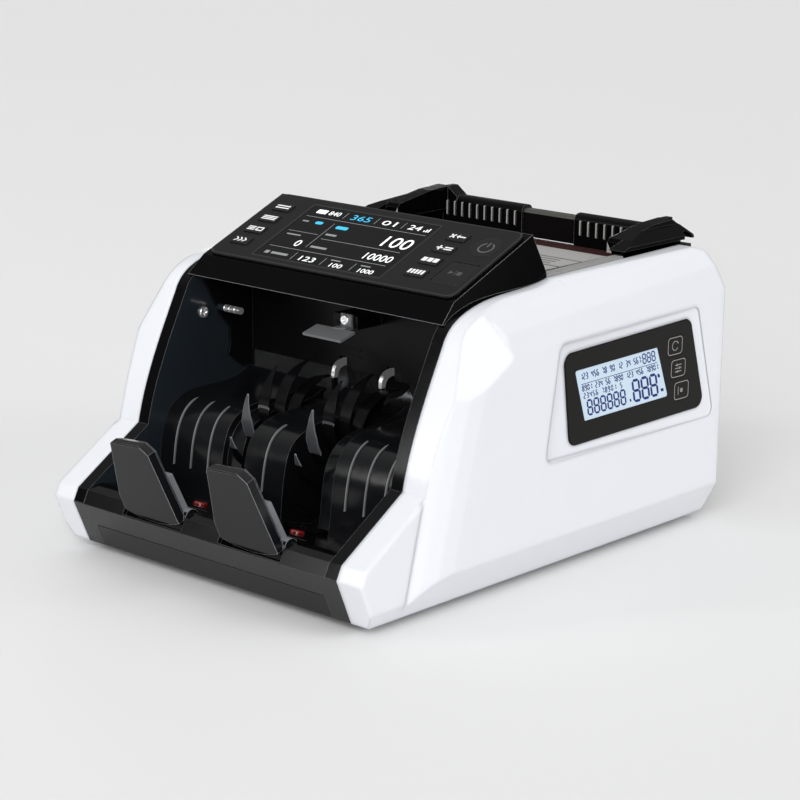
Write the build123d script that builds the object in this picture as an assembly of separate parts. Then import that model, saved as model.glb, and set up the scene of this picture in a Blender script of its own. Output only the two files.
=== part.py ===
from build123d import *
import math
import os

# Banknote counting machine.  Millimetres, +X to the operator's right, +Y to the rear, +Z up.
# The shapes are drawn with Y = 0 at the bottom edge of the front panel and Z = 0 at the foot of
# the rubber feet.  DEPTH_CENTRE moves them so that the origin is under the middle of the machine.

# ---- driving dimensions -------------------------------------------------------------------
SIDE_FACE = 122.7           # outer face of the side shells
HALF_INSIDE = 100.0         # seam between side shells and the black centre
CAVITY = 92.0               # half width of the note path
REAR = 288.7                # rear face
DEPTH_CENTRE = 132.17       # half way between the paddle tips and the rear face
GROUND_GAP = 5.0            # foot height
WALL = 2.4                  # moulded wall
EDGE_ROUND = 1.5            # softened outer edges of the side shells
SEAM = 0.2                  # gap between neighbouring mouldings
RUN = 0.05                  # radial running clearance of a shaft
CLEAR = 0.4                 # clearance between bodies that move past each other

PANEL_FRONT = (83.16, 159.16)   # Y, Z of the control panel's front edge
PANEL_SLOPE = 23.26             # degrees
PANEL_LENGTH = 67.5

STACK_AXIS = (84.0, 58.0)       # stacker wheel shaft, Y and Z
STACK_RADIUS = 49.0
STACK_X = 24.5
FEED_AXIS = (158.0, 92.0)
FEED_RADIUS = 18.0
PICKUP_AXIS = (206.0, 111.6)
PICKUP_RADIUS = 15.0
MOTOR_AXIS = (232.0, 52.0)
PADDLE_AXIS = (-1.5, 36.5)
PADDLE_X = 37.0
FLOOR_TOP = (280.0, 153.0)      # rear edge of the hopper floor
FLOOR_SLOPE = 20.0

KEY_GAP = 0.3
KEY_U = [52.6, 40.4, 28.2, 16.0]
KEY_LEFT_X = -77.7
KEY_RIGHT_X = 54.6
KEY_SIZE = (14.0, 8.0)
POWER_AT = (77.9, 47.7)
START_AT = (77.0, 21.6)
SCREEN_X = (-59.5, 36.0)
SCREEN_U = (6.0, 60.0)

# side display, Y and Z of the corners: rear-top first, then round
PLATE_CORNERS = [(143.5, 123.5), (255.5, 127.0), (271.5, 73.3), (150.3, 71.6)]
LCD_CORNERS = [(152.9, 113.2), (225.1, 114.8), (236.6, 85.0), (162.6, 84.0)]
SIDE_KEYS = [(241.5, 113.2), (245.2, 99.8), (249.0, 86.4)]


# ---- helpers ------------------------------------------------------------------------------
def face_yz(points, x):
    outline = Polyline(*points, close=True)
    return Plane.YZ.offset(x) * make_face(outline)


def prism_yz(points, x0, x1):
    return extrude(face_yz(points, x0), amount=x1 - x0, dir=(1, 0, 0))


def prism_xz(points, y0, y1):
    outline = Polyline(*[(x, 0, z) for x, z in points], close=True)
    return Pos(0, y0, 0) * extrude(make_face(outline), amount=y1 - y0, dir=(0, 1, 0))


def prism_xy(points, z0, z1):
    outline = Polyline(*points, close=True)
    return Pos(0, 0, z0) * extrude(make_face(outline), amount=z1 - z0, dir=(0, 0, 1))


def block(x0, x1, y0, y1, z0, z1):
    middle = Pos((x0 + x1) / 2, (y0 + y1) / 2, (z0 + z1) / 2)
    return middle * Box(x1 - x0, y1 - y0, z1 - z0)


def rod_x(at, radius, x0, x1):
    y, z = at
    return Pos((x0 + x1) / 2, y, z) * Rot(0, 90, 0) * Cylinder(radius, x1 - x0)


def rod_z(x, y, radius, z0, z1):
    return Pos(x, y, (z0 + z1) / 2) * Cylinder(radius, z1 - z0)


def mirrored(shape):
    return mirror(shape, about=Plane.YZ)


def floor_z(y):
    return FLOOR_TOP[1] - math.tan(math.radians(FLOOR_SLOPE)) * (FLOOR_TOP[0] - y)


def panel_plane(height=0.0):
    slope = math.radians(PANEL_SLOPE)
    up = Vector(0, -math.sin(slope), math.cos(slope))
    origin = Vector(0, *PANEL_FRONT) + up * height
    return Plane(origin=origin, x_dir=(1, 0, 0), z_dir=up)


def on_panel(sketch, bottom, top):
    return extrude(panel_plane(bottom) * sketch, amount=top - bottom)


def together(shapes):
    """One node made of several separate solids."""
    return Compound([solid for shape in shapes for solid in shape.solids()])


def pad(x, u, width, depth, radius):
    return Pos(x, u) * RectangleRounded(width, depth, radius)


# ---- side shells --------------------------------------------------------------------------
NOSE = [(0, GROUND_GAP), (-11, 30), (-7.3, 37.5), (37.7, 66.2)]
CHEEK = [(44.8, 90), (56.2, 116), (67.0, 137.5)]
BROW = [(74.0, 147.0), (86.0, 153.2), (112.6, 158.0), (152.0, 161.8)]
BACK = [(272.0, 164.0), (280.5, 161.5), (REAR, 141.0), (REAR, GROUND_GAP)]


def inset_points(points, depth):
    """The closed outline's points, each moved inwards by depth."""
    moved = []
    for i, (y, z) in enumerate(points):
        before = points[i - 1]
        after = points[(i + 1) % len(points)]
        first = Vector(y - before[0], z - before[1]).normalized()
        second = Vector(after[0] - y, after[1] - z).normalized()
        mean = (first + second).normalized()
        reach = depth / max(0.5, mean.dot(first))
        moved.append((y + mean.Y * reach, z - mean.X * reach))
    return moved


def side_profile(inset=0.0):
    ring = inset_points(NOSE + CHEEK + BROW + BACK, inset)
    knee = len(NOSE)
    temple = knee + len(CHEEK)
    crown = temple + len(BROW)
    edges = Polyline(*ring[:knee])
    edges += Spline(*ring[knee - 1:temple])
    edges += Spline(*ring[temple - 1:crown])
    edges += Polyline(*ring[crown - 1:], ring[0])
    return make_face(edges)


NOSE_X = 117.0              # outer face of the block beside the paddles
GROOVE_FOOT = (24.4, 22.5)  # lower end of the step behind that block, Y and Z
GROOVE_LEAN = 13.9
GROOVE = [(NOSE_X, 0), (114.8, 0.4), (118.9, 8), (121.6, 17), (SIDE_FACE, 27)]
CROWN_FOOT = (86.4, 153.1)
CROWN_RISE = 3.4
CROWN = [(104.0, 5.0), (110.3, 0), (113.8, -4), (118.9, -12), (SIDE_FACE, -26)]


def front_relief(inset):
    """What is cut from the side face in front: the nose block, its step and the rising cheek."""
    edge = [(x - inset, y) for x, y in GROOVE]
    outline = [(NOSE_X - inset, -80), *edge, (140, 27), (140, -80)]
    return Pos(0, *GROOVE_FOOT) * Rot(-GROOVE_LEAN, 0, 0) * prism_xy(outline, -60, 150)


def crown_relief(inset):
    """What is cut along the top so that the side face leans in to the upper edge."""
    edge = [(x - inset, z) for x, z in CROWN]
    outline = [*edge, (140, -26), (140, 40), (CROWN[0][0] - inset, 40)]
    return Pos(0, *CROWN_FOOT) * Rot(CROWN_RISE, 0, 0) * prism_xz(outline, -90, 230)


FACET_HIGH = (110.3, 86.4, 153.1)
FACET_REAR = (SIDE_FACE, 99.2, 129.4)
FACET_LOW = (SIDE_FACE, 55.0, 105.5)
FACET_WALL_SPREAD = 1.2     # how far the facet's rear wall spreads per unit of its height


def facet_relief(inset):
    """The flat three-sided facet at the upper front corner."""
    high = Vector(*FACET_HIGH)
    rear = Vector(*FACET_REAR)
    low = Vector(*FACET_LOW)
    out = (low - rear).cross(high - rear).normalized()
    if out.X < 0:
        out = -out
    inward = (low - rear).cross(out).normalized()
    if inward.X > 0:
        inward = -inward
    away = (high - rear).cross(out).normalized()
    if away.Y < 0:
        away = -away
    shift = out * -inset
    front = low + (low - rear)
    corners = [rear, front, front + inward * 40, high + (high - rear) * 0.4]
    face = make_face(Polyline(*[corner + shift for corner in corners], close=True))
    return extrude(face, amount=25, dir=(out + away * FACET_WALL_SPREAD).normalized())


def shell_body(inset):
    """One side shell's outer body, or with an inset the hollow inside it."""
    profile = side_profile(inset)
    start = HALF_INSIDE + SEAM - (1 if inset else 0)
    end = SIDE_FACE - inset
    body = extrude(Plane.YZ.offset(start) * profile, amount=end - start, dir=(1, 0, 0))
    under = [(end, 24), (112.3 - inset, GROUND_GAP - 0.1), (112.3 - inset, -5), (140, -5), (140, 24)]
    body -= prism_xz(under, -40, 320)
    body -= front_relief(inset)
    body -= crown_relief(inset)
    return body - facet_relief(inset)


def rim_edges(body, y0, y1):
    """Outer edges of a shell body where its outline meets the side face, between two depths."""
    found = []
    for edge in body.edges():
        middle = edge @ 0.5
        if not (y0 < middle.Y < y1 and middle.Z > 20 and middle.X > 103):
            continue
        faces = [face for face in body.faces() if face.distance_to(middle) < 1e-4]
        leans = sorted(abs(face.normal_at(middle).X) for face in faces)
        if len(leans) == 2 and leans[0] < 0.02 and leans[1] > 0.2:
            found.append(edge)
    return found


def outer_shell():
    body = shell_body(0)
    return fillet(rim_edges(body, -20, 14) + rim_edges(body, 160, 300), EDGE_ROUND)


def side_shell():
    return outer_shell() - shell_body(WALL)


DISPLAY_TILT = 1.25             # the side display's front end is sunk into the side face
DISPLAY_PIVOT_Y = 271.0
POCKET_CORNERS = [(137, 130.5), (262, 133), (281, 66), (126.5, 67)]
PLATE_RISE = 0.8


def on_display(shape):
    """Turns a piece drawn flat on the side face to the side display's slant."""
    pivot = Pos(SIDE_FACE, DISPLAY_PIVOT_Y, 0)
    return pivot * Rot(0, 0, -DISPLAY_TILT) * Pos(-SIDE_FACE, -DISPLAY_PIVOT_Y, 0) * shape


def plate_face(corners, radius):
    return fillet(make_face(Polyline(*corners, close=True)).vertices(), radius)


def plate_prism(corners, radius, grow, x0, x1):
    face = plate_face(corners, radius)
    if grow:
        face = offset(face, grow)
    return extrude(Plane.YZ.offset(x0) * face, amount=x1 - x0, dir=(1, 0, 0))


def make_right_shell():
    backing = plate_prism(POCKET_CORNERS, 5, WALL, SIDE_FACE - PLATE_RISE - WALL, SIDE_FACE + 6)
    pocket = plate_prism(POCKET_CORNERS, 5, 0, SIDE_FACE - PLATE_RISE, SIDE_FACE + 9)
    window = plate_prism(PLATE_CORNERS, 6, 0.15, SIDE_FACE - 9, SIDE_FACE + 9)
    shell = side_shell() + (on_display(backing) & shell_body(0))
    return shell - on_display(pocket) - on_display(window)


def make_left_shell():
    shell = side_shell()
    for row in range(9):
        z = 78 + row * 5.6
        shift = (127 - z) * 0.24
        slot = Pos(SIDE_FACE, 201 + shift, z) * Box(12, 78, 2.4)
        shell -= fillet(slot.edges().filter_by(Axis.X), 1.1)
    return mirrored(shell)


def make_side_display_plate():
    plate = plate_prism(PLATE_CORNERS, 6, 0, SIDE_FACE - 2.7, SIDE_FACE)
    rim = plate.faces().sort_by(Axis.X)[-1]
    plate = chamfer(rim.edges(), 0.35)
    plate -= plate_prism(LCD_CORNERS, 1.2, 0.1, SIDE_FACE - 4, SIDE_FACE + 1)
    for y, z in SIDE_KEYS:
        plate -= side_key(y, z, KEY_GAP, SIDE_FACE - 4, SIDE_FACE + 1)
    return on_display(plate)


def make_side_lcd():
    return on_display(plate_prism(LCD_CORNERS, 1.2, 0, SIDE_FACE - 2.7, SIDE_FACE - 0.35))


SIDE_KEY_WIDTH = 14.0
SIDE_KEY_HEIGHT = 10.9


def side_key(y, z, grow, x0, x1):
    outline = RectangleRounded(SIDE_KEY_WIDTH + 2 * grow, SIDE_KEY_HEIGHT + 2 * grow, 2.4 + grow)
    lean = Pos(x0, y, z) * Rot(0, 90, 0) * Rot(0, 0, 90)
    return lean * extrude(outline, amount=x1 - x0)


def make_side_key(index):
    y, z = SIDE_KEYS[index]
    return on_display(side_key(y, z, 0, SIDE_FACE - 2.1, SIDE_FACE))


# ---- base, front and stacker tray ----------------------------------------------------------
def make_base_pan():
    pan = block(-99.6, 99.6, 6, 285.8, GROUND_GAP, 17)
    pan -= block(-97.6, 97.6, 8, 283.8, GROUND_GAP + 2, 20)
    for row in range(10):
        pan -= block(-35, 35, 130 + row * 8, 133 + row * 8, 0, 10)
    return pan


def make_front_panel():
    outline = [(0, 5), (-11, 30), (-8.3, 30), (2.6, 5)]
    panel = prism_yz(outline, -99.8, 99.8)
    recess = [(-8, 3), (-14, 18.3), (-4.7, 18.3), (2.03, 3)]
    return panel - prism_yz(recess, -86.4, 86.4)


def make_front_inset_plate():
    outline = [(0, 5), (-5.62, 17.8), (-4.62, 17.8), (1.0, 5)]
    return prism_yz(outline, -86, 86)


SENSOR_AT = (25.5, 33.0)
SENSOR_TILT = -16


def make_stacker_tray():
    """Shallow tray with a rounded lip, cut away round the paddles and bored for their pins."""
    lip = [(-11, 30.1), (-7.3, 37.5), (-2, 39.2), (3, 39.4), (15, 36.5), (43.2, 28.3), (43.2, 26.1),
           (15, 34.0), (3, 36.4), (-1, 36.6), (-5.5, 35.4), (-8.2, 30.1)]
    tray = prism_yz(lip, -91.8, 91.8)
    tray += prism_yz([(-8.0, 30.1), (-6.0, 34.5), (12, 34.8), (12, 22), (-3, 22)], -63, 63)
    ear = [(-2, 22), (-2, 30), (-4.5, 36.5), (-1.5, 39.5), (1.5, 36.5), (12, 30), (12, 22)]
    for x in (-PADDLE_X, PADDLE_X):
        tray -= rod_x(PADDLE_AXIS, 10.6, x - 23, x + 23)
        tray += prism_yz(ear, x - 26, x - 23) + prism_yz(ear, x + 23, x + 26)
        tray -= rod_x(PADDLE_AXIS, PIN_RADIUS + RUN, x - 26.2, x + 26.2)
        tray -= Pos(x, *SENSOR_AT) * Rot(SENSOR_TILT, 0, 0) * Cylinder(4.3, 12)
    return tray


def make_tray_leds():
    lenses = []
    for x in (-PADDLE_X, PADDLE_X):
        lens = Pos(x, *SENSOR_AT) * Rot(SENSOR_TILT, 0, 0) * Pos(0, 0, -0.4) * Cylinder(4.1, 5)
        lenses.append(fillet(lens.edges().sort_by(Axis.Z)[-1], 1.2))
    return together(lenses)


# ---- paddles --------------------------------------------------------------------------------
PADDLE_FOOT = (-9.2, 31.8)      # front face at the foot, Y and Z
PADDLE_LEAN = math.atan2(17, 46)
PADDLE_THICK = 6.5
PADDLE_SKIN = 2.6               # front and rear plates, with a slit round the edge between them
PADDLE_SLIT = 1.3
PIN_RADIUS = 2.0


def paddle(x):
    """An upright note stop that leans to the operator and folds in about a pin at its foot."""
    facing = (0, -math.cos(PADDLE_LEAN), -math.sin(PADDLE_LEAN))
    base = Plane(origin=(x, *PADDLE_FOOT), x_dir=(1, 0, 0), z_dir=facing)
    sides = [(-21.2, 3.0), (-22.0, 12.0), (-15.2, 47.0), (8.0, 48.8), (13.6, 44.5), (21.4, 3.2)]
    edges = Polyline(*sides) + Spline(sides[-1], (11, 0.3), (0, -0.6), (-11, 0.5), sides[0])
    outline = make_face(edges)
    plate = extrude(base * outline, amount=-PADDLE_SKIN)
    neck = Polyline(*[(a * 0.95, 0.96 * b + 1) for a, b in sides], close=True)
    plate += extrude(base * make_face(neck), amount=-PADDLE_THICK)
    plate += extrude(base.offset(PADDLE_SKIN + PADDLE_SLIT - PADDLE_THICK) * outline, amount=-PADDLE_SKIN)
    block_edges = Polyline((-19, 2), (-19, 27), (14.6, 27), (19.4, 3.4), (19.4, 2), close=True)
    plate += extrude(base.offset(-PADDLE_THICK) * make_face(block_edges), amount=-4.5)
    plate = chamfer(plate.faces().sort_by(Axis.Y)[0].edges(), 0.6)
    knuckle = rod_x(PADDLE_AXIS, 5, x - 22.4, x + 22.4)
    return plate + knuckle - rod_x(PADDLE_AXIS, PIN_RADIUS + RUN, x - 40, x + 40)


def make_paddle_pins():
    pins = [rod_x(PADDLE_AXIS, PIN_RADIUS, x - 26, x + 26) for x in (-PADDLE_X, PADDLE_X)]
    return together(pins)


# ---- stacker throat -------------------------------------------------------------------------
STUB_AXIS = (92.0, 126.0)


def make_throat_liners():
    profile = side_profile()
    band = extrude(Plane.YZ.offset(CAVITY) * (profile - side_profile(3.0)),
                   amount=HALF_INSIDE - CAVITY, dir=(1, 0, 0))
    band -= block(80, 120, 152, 400, -10, 300)
    band -= block(80, 120, -40, 400, -10, 30.2)
    wall = extrude(Plane.YZ.offset(CAVITY) * profile, amount=2.5, dir=(1, 0, 0))
    wall &= block(80, 120, -40, 122, 30.2, 151)
    liner = band + wall
    liner -= rod_x(STACK_AXIS, 5, 80, 120)
    liner += rod_x(STUB_AXIS, 2.0, 72.5, 93)
    for x in (76, 80, 84):
        liner -= rod_x(STUB_AXIS, 3, x, x + 1) - rod_x(STUB_AXIS, 1.6, x - 1, x + 2)
    return together([liner, mirrored(liner)])


COVER_FRONT = [(43.8, 28), (46.0, 44), (48.4, 60), (53.5, 72),
               (64, 79.3), (81, 81.4), (104, 82.6), (117, 87.6)]
COVER_MIDDLE = [(35.4, 32.8), (36.4, 46), (38.6, 60), (43.5, 72.5),
                (56, 80), (78, 82.4), (104, 83), (117, 87.6)]
COVER_SHELF = [(47.8, 30), (50.0, 44), (52.4, 59), (57.5, 69.5),
               (67, 76), (83, 78.2), (104, 79.8), (117, 84.6)]


def cover(front, x0, x1, rib_places):
    """A note cover: bent skin, closed cheeks and thin upright ribs."""
    outer = Spline(*front)
    inner = Spline(*[(y + 2.3, z - 1.8) for y, z in front])
    ends = Line(outer @ 0, inner @ 0) + Line(outer @ 1, inner @ 1)
    skin = extrude(Plane.YZ.offset(x0) * make_face(outer + inner + ends), amount=x1 - x0, dir=(1, 0, 0))
    cheek = make_face(Spline(*front) + Polyline(front[-1], (114, 60), (90, 44), (60, 26), front[0]))
    for x in (x0, x1 - 2):
        skin += extrude(Plane.YZ.offset(x) * cheek, amount=2, dir=(1, 0, 0))
    rib_edges = Spline(*[(y - 0.9, z + 0.1) for y, z in front[1:5]])
    rib_edges += Polyline(rib_edges @ 1, (66, 74), (60, 60), (54, 46), rib_edges @ 0)
    rib = make_face(rib_edges)
    for x in rib_places:
        skin += extrude(Plane.YZ.offset(x - 0.35) * rib, amount=0.7, dir=(1, 0, 0))
    return skin - rod_x(STACK_AXIS, 5, x0 - 1, x1 + 1)


def make_stacker_covers():
    right = cover(COVER_FRONT, 42, 91.6, [52.5, 66.0, 79.5])
    right += cover(COVER_SHELF, 31, 43, [])
    centre = cover(COVER_MIDDLE, -15, 15, [0])
    return together([mirrored(right), centre, right])


REAR_CHEEK = [(80, 143), (86, 133), (92, 122), (100, 113), (101, 104), (99, 97), (110, 88.5), (118.5, 88.5),
              (118.5, 143)]


def make_throat_back():
    back = block(-91.6, 91.6, 118.5, 121, 97, 145.5)
    back += block(-91.6, 91.6, 110, 121, 143, 145.5)
    back += block(-7, 11, 99, 119, 127, 134.5)
    cheek = prism_yz(REAR_CHEEK, 90.2, 91.6) - rod_x(STUB_AXIS, 2.3, 80, 100)
    back += cheek + mirrored(cheek)
    for x in (-18, 18):
        back -= block(x - 3, x + 3, 117, 122, 95, 104.5)
    for z in (105.4, 109.6):
        back += block(-24, -4.5, 117.8, 119, z, z + 0.9)
    return back


def make_deflector_fingers():
    """Curved fingers that steer each note down into the stacker wheels."""
    front = Spline((124, 102.5), (118, 103), (112.6, 101), (110.2, 94.5), (111.6, 86))
    back = Spline((124, 98.5), (118.5, 99.2), (114.8, 97.6), (113.2, 93.6), (113.6, 86.2))
    side = make_face(front + back + Line(front @ 0, back @ 0) + Line(front @ 1, back @ 1))
    fingers = [extrude(Plane.YZ.offset(x - 1.2) * side, amount=2.4, dir=(1, 0, 0)) for x in (-18, 18)]
    return together(fingers)


def make_sensor_bracket():
    plate = Pos(2, 85.8, 126) * Rot(15, 0, 0) * Box(28.4, 12, 1.5)
    arm = block(0, 8, 90.6, 98.9, 127.0, 128.5)
    tab = block(0, 8, 97.4, 98.9, 127.0, 135.4)
    return plate + arm + tab


# ---- transport ------------------------------------------------------------------------------
SHAFT_RADIUS = 4.0
SHAFT_HALF = 104.0
PLATE_IN = 99.9
PLATE_OUT = 101.4
BELT_GAP = 0.3
IMPELLER_PULLEY = 14.0
FEED_PULLEY = 12.0
PICKUP_PULLEY = 12.0
MOTOR_PULLEY = 8.0
INNER_BELT = -106.0             # belt planes, centre X
OUTER_BELT = -112.0
BELT_WIDTH = 4.0


def pulley(at, radius, x_centre):
    half = BELT_WIDTH / 2 + 0.2
    body = rod_x(at, radius, x_centre - half, x_centre + half)
    for side in (-1, 1):
        edge = x_centre + side * (half + 0.3)
        body += rod_x(at, radius + 1.2, edge - 0.3, edge + 0.3)
    return body - rod_x(at, SHAFT_RADIUS, x_centre - 9, x_centre + 9)


def belt(first, radius_a, second, radius_b, x_centre):
    """Closed belt round two pulleys, a gap outside their rims."""
    dy = second[0] - first[0]
    dz = second[1] - first[1]
    span = math.hypot(dy, dz)
    turn = math.atan2(dz, dy)
    tilt = math.acos((radius_a - radius_b) / span)
    loops = []
    for grow in (BELT_GAP + 1.2, BELT_GAP):
        a = radius_a + grow
        b = radius_b + grow
        corners = []
        for side in (1, -1):
            angle = turn + side * tilt
            corners.append((first[0] + a * math.cos(angle), first[1] + a * math.sin(angle)))
            corners.append((second[0] + b * math.cos(angle), second[1] + b * math.sin(angle)))
        back = (first[0] - a * math.cos(turn), first[1] - a * math.sin(turn))
        front = (second[0] + b * math.cos(turn), second[1] + b * math.sin(turn))
        edges = Line(corners[0], corners[1]) + ThreePointArc(corners[1], front, corners[3])
        edges += Line(corners[3], corners[2]) + ThreePointArc(corners[2], back, corners[0])
        loops.append(make_face(edges))
    ring = loops[0] - loops[1]
    start = x_centre - BELT_WIDTH / 2
    return extrude(Plane.YZ.offset(start) * ring, amount=BELT_WIDTH, dir=(1, 0, 0))


def shaft(at, left, right):
    body = rod_x(at, SHAFT_RADIUS, left, right)
    return chamfer(body.faces().sort_by(Axis.X)[0].edges(), 0.5)


def make_impeller_shaft():
    bar = shaft(STACK_AXIS, OUTER_BELT - 4, SHAFT_HALF)
    return together([bar, pulley(STACK_AXIS, IMPELLER_PULLEY, OUTER_BELT)])


def fin(turn):
    """One springy fin: a thin blade that trails as it leaves the hub."""
    front = []
    back = []
    steps = 8
    for i in range(steps + 1):
        t = i / steps
        radius = 11 + (STACK_RADIUS - 11) * t
        angle = math.radians(turn) - math.radians(46) * t ** 1.6
        half = (0.9 - 0.5 * t) / radius
        front.append((radius * math.cos(angle + half), radius * math.sin(angle + half)))
        back.append((radius * math.cos(angle - half), radius * math.sin(angle - half)))
    edges = Spline(*front) + Spline(*back) + Line(front[0], back[0]) + Line(front[-1], back[-1])
    return make_face(edges)


def make_impeller_wheels():
    fins = 12
    half = 4.0
    wheel = rod_x((0, 0), 13, -half, half)
    for i in range(fins):
        wheel += extrude(Plane.YZ.offset(-half) * fin(360 * i / fins), amount=2 * half, dir=(1, 0, 0))
    tip = STACK_RADIUS + 0.2
    lens = [(-half, 0), (-half, 40), (-0.5, tip), (0.5, tip), (half, 40), (half, 0)]
    wheel &= revolve(make_face(Polyline(*lens, close=True)), axis=Axis.X)
    wheel -= rod_x((0, 0), SHAFT_RADIUS, -20, 20)
    return together([Pos(x, *STACK_AXIS) * wheel for x in (-STACK_X, STACK_X)])


def make_feed_shaft():
    bar = shaft(FEED_AXIS, OUTER_BELT - 4, SHAFT_HALF)
    rims = [pulley(FEED_AXIS, FEED_PULLEY, INNER_BELT), pulley(FEED_AXIS, FEED_PULLEY, OUTER_BELT)]
    return together([bar, *rims])


def roller(at, radius, x, width):
    body = rod_x(at, radius, x - width / 2, x + width / 2)
    body = chamfer(body.edges().filter_by(GeomType.CIRCLE), 0.8)
    for side in (-1, 0, 1):
        body -= (rod_x(at, radius + 1, x + side * width / 4 - 0.6, x + side * width / 4 + 0.6)
                 - rod_x(at, radius - 0.8, x - width, x + width))
    return body - rod_x(at, SHAFT_RADIUS, x - width, x + width)


def make_feed_rollers():
    return together([roller(FEED_AXIS, FEED_RADIUS, x, 24) for x in (-24, 24)])


def make_pickup_shaft():
    bar = shaft(PICKUP_AXIS, OUTER_BELT - 4, SHAFT_HALF)
    rims = [pulley(PICKUP_AXIS, PICKUP_PULLEY, INNER_BELT), pulley(PICKUP_AXIS, PICKUP_PULLEY, OUTER_BELT)]
    return together([bar, *rims])


def make_pickup_rollers():
    return together([roller(PICKUP_AXIS, PICKUP_RADIUS, x, 16) for x in (-24, 24)])


RETARD_AXIS = (148.6, 118.0)
RETARD_RADIUS = 8.8


def make_retard_rollers():
    rolls = [roller(RETARD_AXIS, RETARD_RADIUS, x, 18) for x in (-24, 24)]
    return together([rod_x(RETARD_AXIS, SHAFT_RADIUS, -40, 40), *rolls])


def make_main_motor():
    can = rod_x(MOTOR_AXIS, 21, -98, -40)
    can = chamfer(can.faces().sort_by(Axis.X)[-1].edges(), 2)
    can -= rod_x(MOTOR_AXIS, SHAFT_RADIUS + 0.3, -130, -60)
    foot = block(-92, -48, MOTOR_AXIS[0] - 24, MOTOR_AXIS[0] + 24, 7, 10)
    saddle = block(-90, -50, MOTOR_AXIS[0] - 10, MOTOR_AXIS[0] + 10, 9, 34)
    return can + foot + saddle - rod_x(MOTOR_AXIS, SHAFT_RADIUS + 0.3, -130, -60)


def make_main_motor_pulley():
    bar = rod_x(MOTOR_AXIS, SHAFT_RADIUS, OUTER_BELT - 4, -62)
    return together([bar, pulley(MOTOR_AXIS, MOTOR_PULLEY, OUTER_BELT)])


def make_drive_belts():
    pickup = belt(FEED_AXIS, FEED_PULLEY, PICKUP_AXIS, PICKUP_PULLEY, INNER_BELT)
    stacker = belt(STACK_AXIS, IMPELLER_PULLEY, FEED_AXIS, FEED_PULLEY, OUTER_BELT)
    motor = belt(MOTOR_AXIS, MOTOR_PULLEY, PICKUP_AXIS, PICKUP_PULLEY, OUTER_BELT)
    return together([pickup, stacker, motor])


def make_chassis_plates():
    outline = [(62, 18), (62, 104), (82, 138), (112, 150), (262, 154), (272, 146), (280, 130), (280, 18)]
    plate = prism_yz(outline, PLATE_IN, PLATE_OUT)
    for at in (STACK_AXIS, FEED_AXIS, PICKUP_AXIS):
        plate -= rod_x(at, 6.5, 90, 120)
    plate -= rod_x(MOTOR_AXIS, 12, 90, 120)
    plate -= block(90, 120, 110, 145, 30, 70)
    return together([mirrored(plate), plate])


def make_bushings():
    rings = []
    for at in (STACK_AXIS, FEED_AXIS, PICKUP_AXIS):
        ring = rod_x(at, 6.5, PLATE_IN, PLATE_OUT) + rod_x(at, 8, PLATE_OUT, PLATE_OUT + 1.4)
        ring -= rod_x(at, SHAFT_RADIUS + RUN, 90, 120)
        rings += [mirrored(ring), ring]
    return together(rings)


# ---- hopper ---------------------------------------------------------------------------------
SLOT_HALF = 11.0
FLOOR_END = 277.0               # the floor stops short of the guide rail
GAP_KNOB_AT = (0.0, 168.0)
GAP_SCREW = 3.0


def floor_strip(y0, y1, low, high):
    front = floor_z(y0)
    rear = floor_z(y1)
    return [(y0, front + low), (y1, rear + low), (y1, rear + high), (y0, front + high)]


def roller_slots():
    slots = Part()
    for x in (-24, 24):
        slots += block(x - SLOT_HALF, x + SLOT_HALF, PICKUP_AXIS[0] - 20, PICKUP_AXIS[0] + 14, 90, 150)
    return slots


def front_beam():
    """Cross beam behind the panel: carries the gap screw and hangs the retard rollers."""
    beam = block(-CAVITY - 1, CAVITY + 1, 153, 176, 141, 147)
    beam += block(-CAVITY - 1, CAVITY + 1, 153, 156, 131, 147)
    arm = prism_yz([(143.6, 112), (153.6, 112), (156, 131), (156, 145), (152.5, 145), (143.6, 124)], 36.6, 40)
    beam += arm + mirrored(arm)
    beam -= rod_x(RETARD_AXIS, SHAFT_RADIUS, -50, 50)
    return beam - rod_z(*GAP_KNOB_AT, GAP_SCREW + RUN, 100, 200)


def make_hopper_body():
    body = prism_yz(floor_strip(178, FLOOR_END, -3.2, 0), -CAVITY - 1, CAVITY + 1)
    body -= prism_yz(floor_strip(170, FLOOR_END + 10, -0.8, 3), -40.2, 40.2)
    side = [(152.2, 158), (274, 160.5), (283.2, 152), (283.2, 120), (230, 118), (178, 104), (152.2, 104)]
    wall = prism_yz(side, CAVITY, 99.7)
    wall -= block(CAVITY - 1, 101, 279.4, 290, 152.2, 170)
    body += wall + mirrored(wall)
    kerb = block(CAVITY - 2.5, CAVITY + 1.1, 152.6, 228, 152, 162.8)
    body += kerb + mirrored(kerb)
    body += block(-CAVITY - 1, CAVITY + 1, 275, FLOOR_END, 136, 149)
    body += block(-CAVITY - 1, CAVITY + 1, 275, 287.5, 148.4, 150.2)
    body += front_beam()
    body -= roller_slots()
    return body - rod_x(PICKUP_AXIS, 6, -120, 120)


INSERT_GROOVES = [(254.0, 38), (256.2, 20), (258.4, 22), (260.5, 24), (262.6, 38)]    # Y, half length


def make_floor_insert():
    insert = prism_yz(floor_strip(178, FLOOR_END, -0.7, 0), -40, 40)
    insert -= roller_slots()
    for y, reach in INSERT_GROOVES:
        insert -= prism_yz(floor_strip(y - 0.45, y + 0.45, -0.35, 2), -reach, reach)
    return insert


def make_hopper_side_strips():
    outline = [(152.4, 158.2), (220, 159.6), (220, 164), (152.4, 163.2)]
    strip = prism_yz(outline, CAVITY + 1.2, 99.6)
    return together([mirrored(strip), strip])


RAIL = (279.6, 286.2, 152.4, 169.4)     # Y0, Y1, Z0, Z1
GUIDE_INNER_X = 20.0


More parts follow.
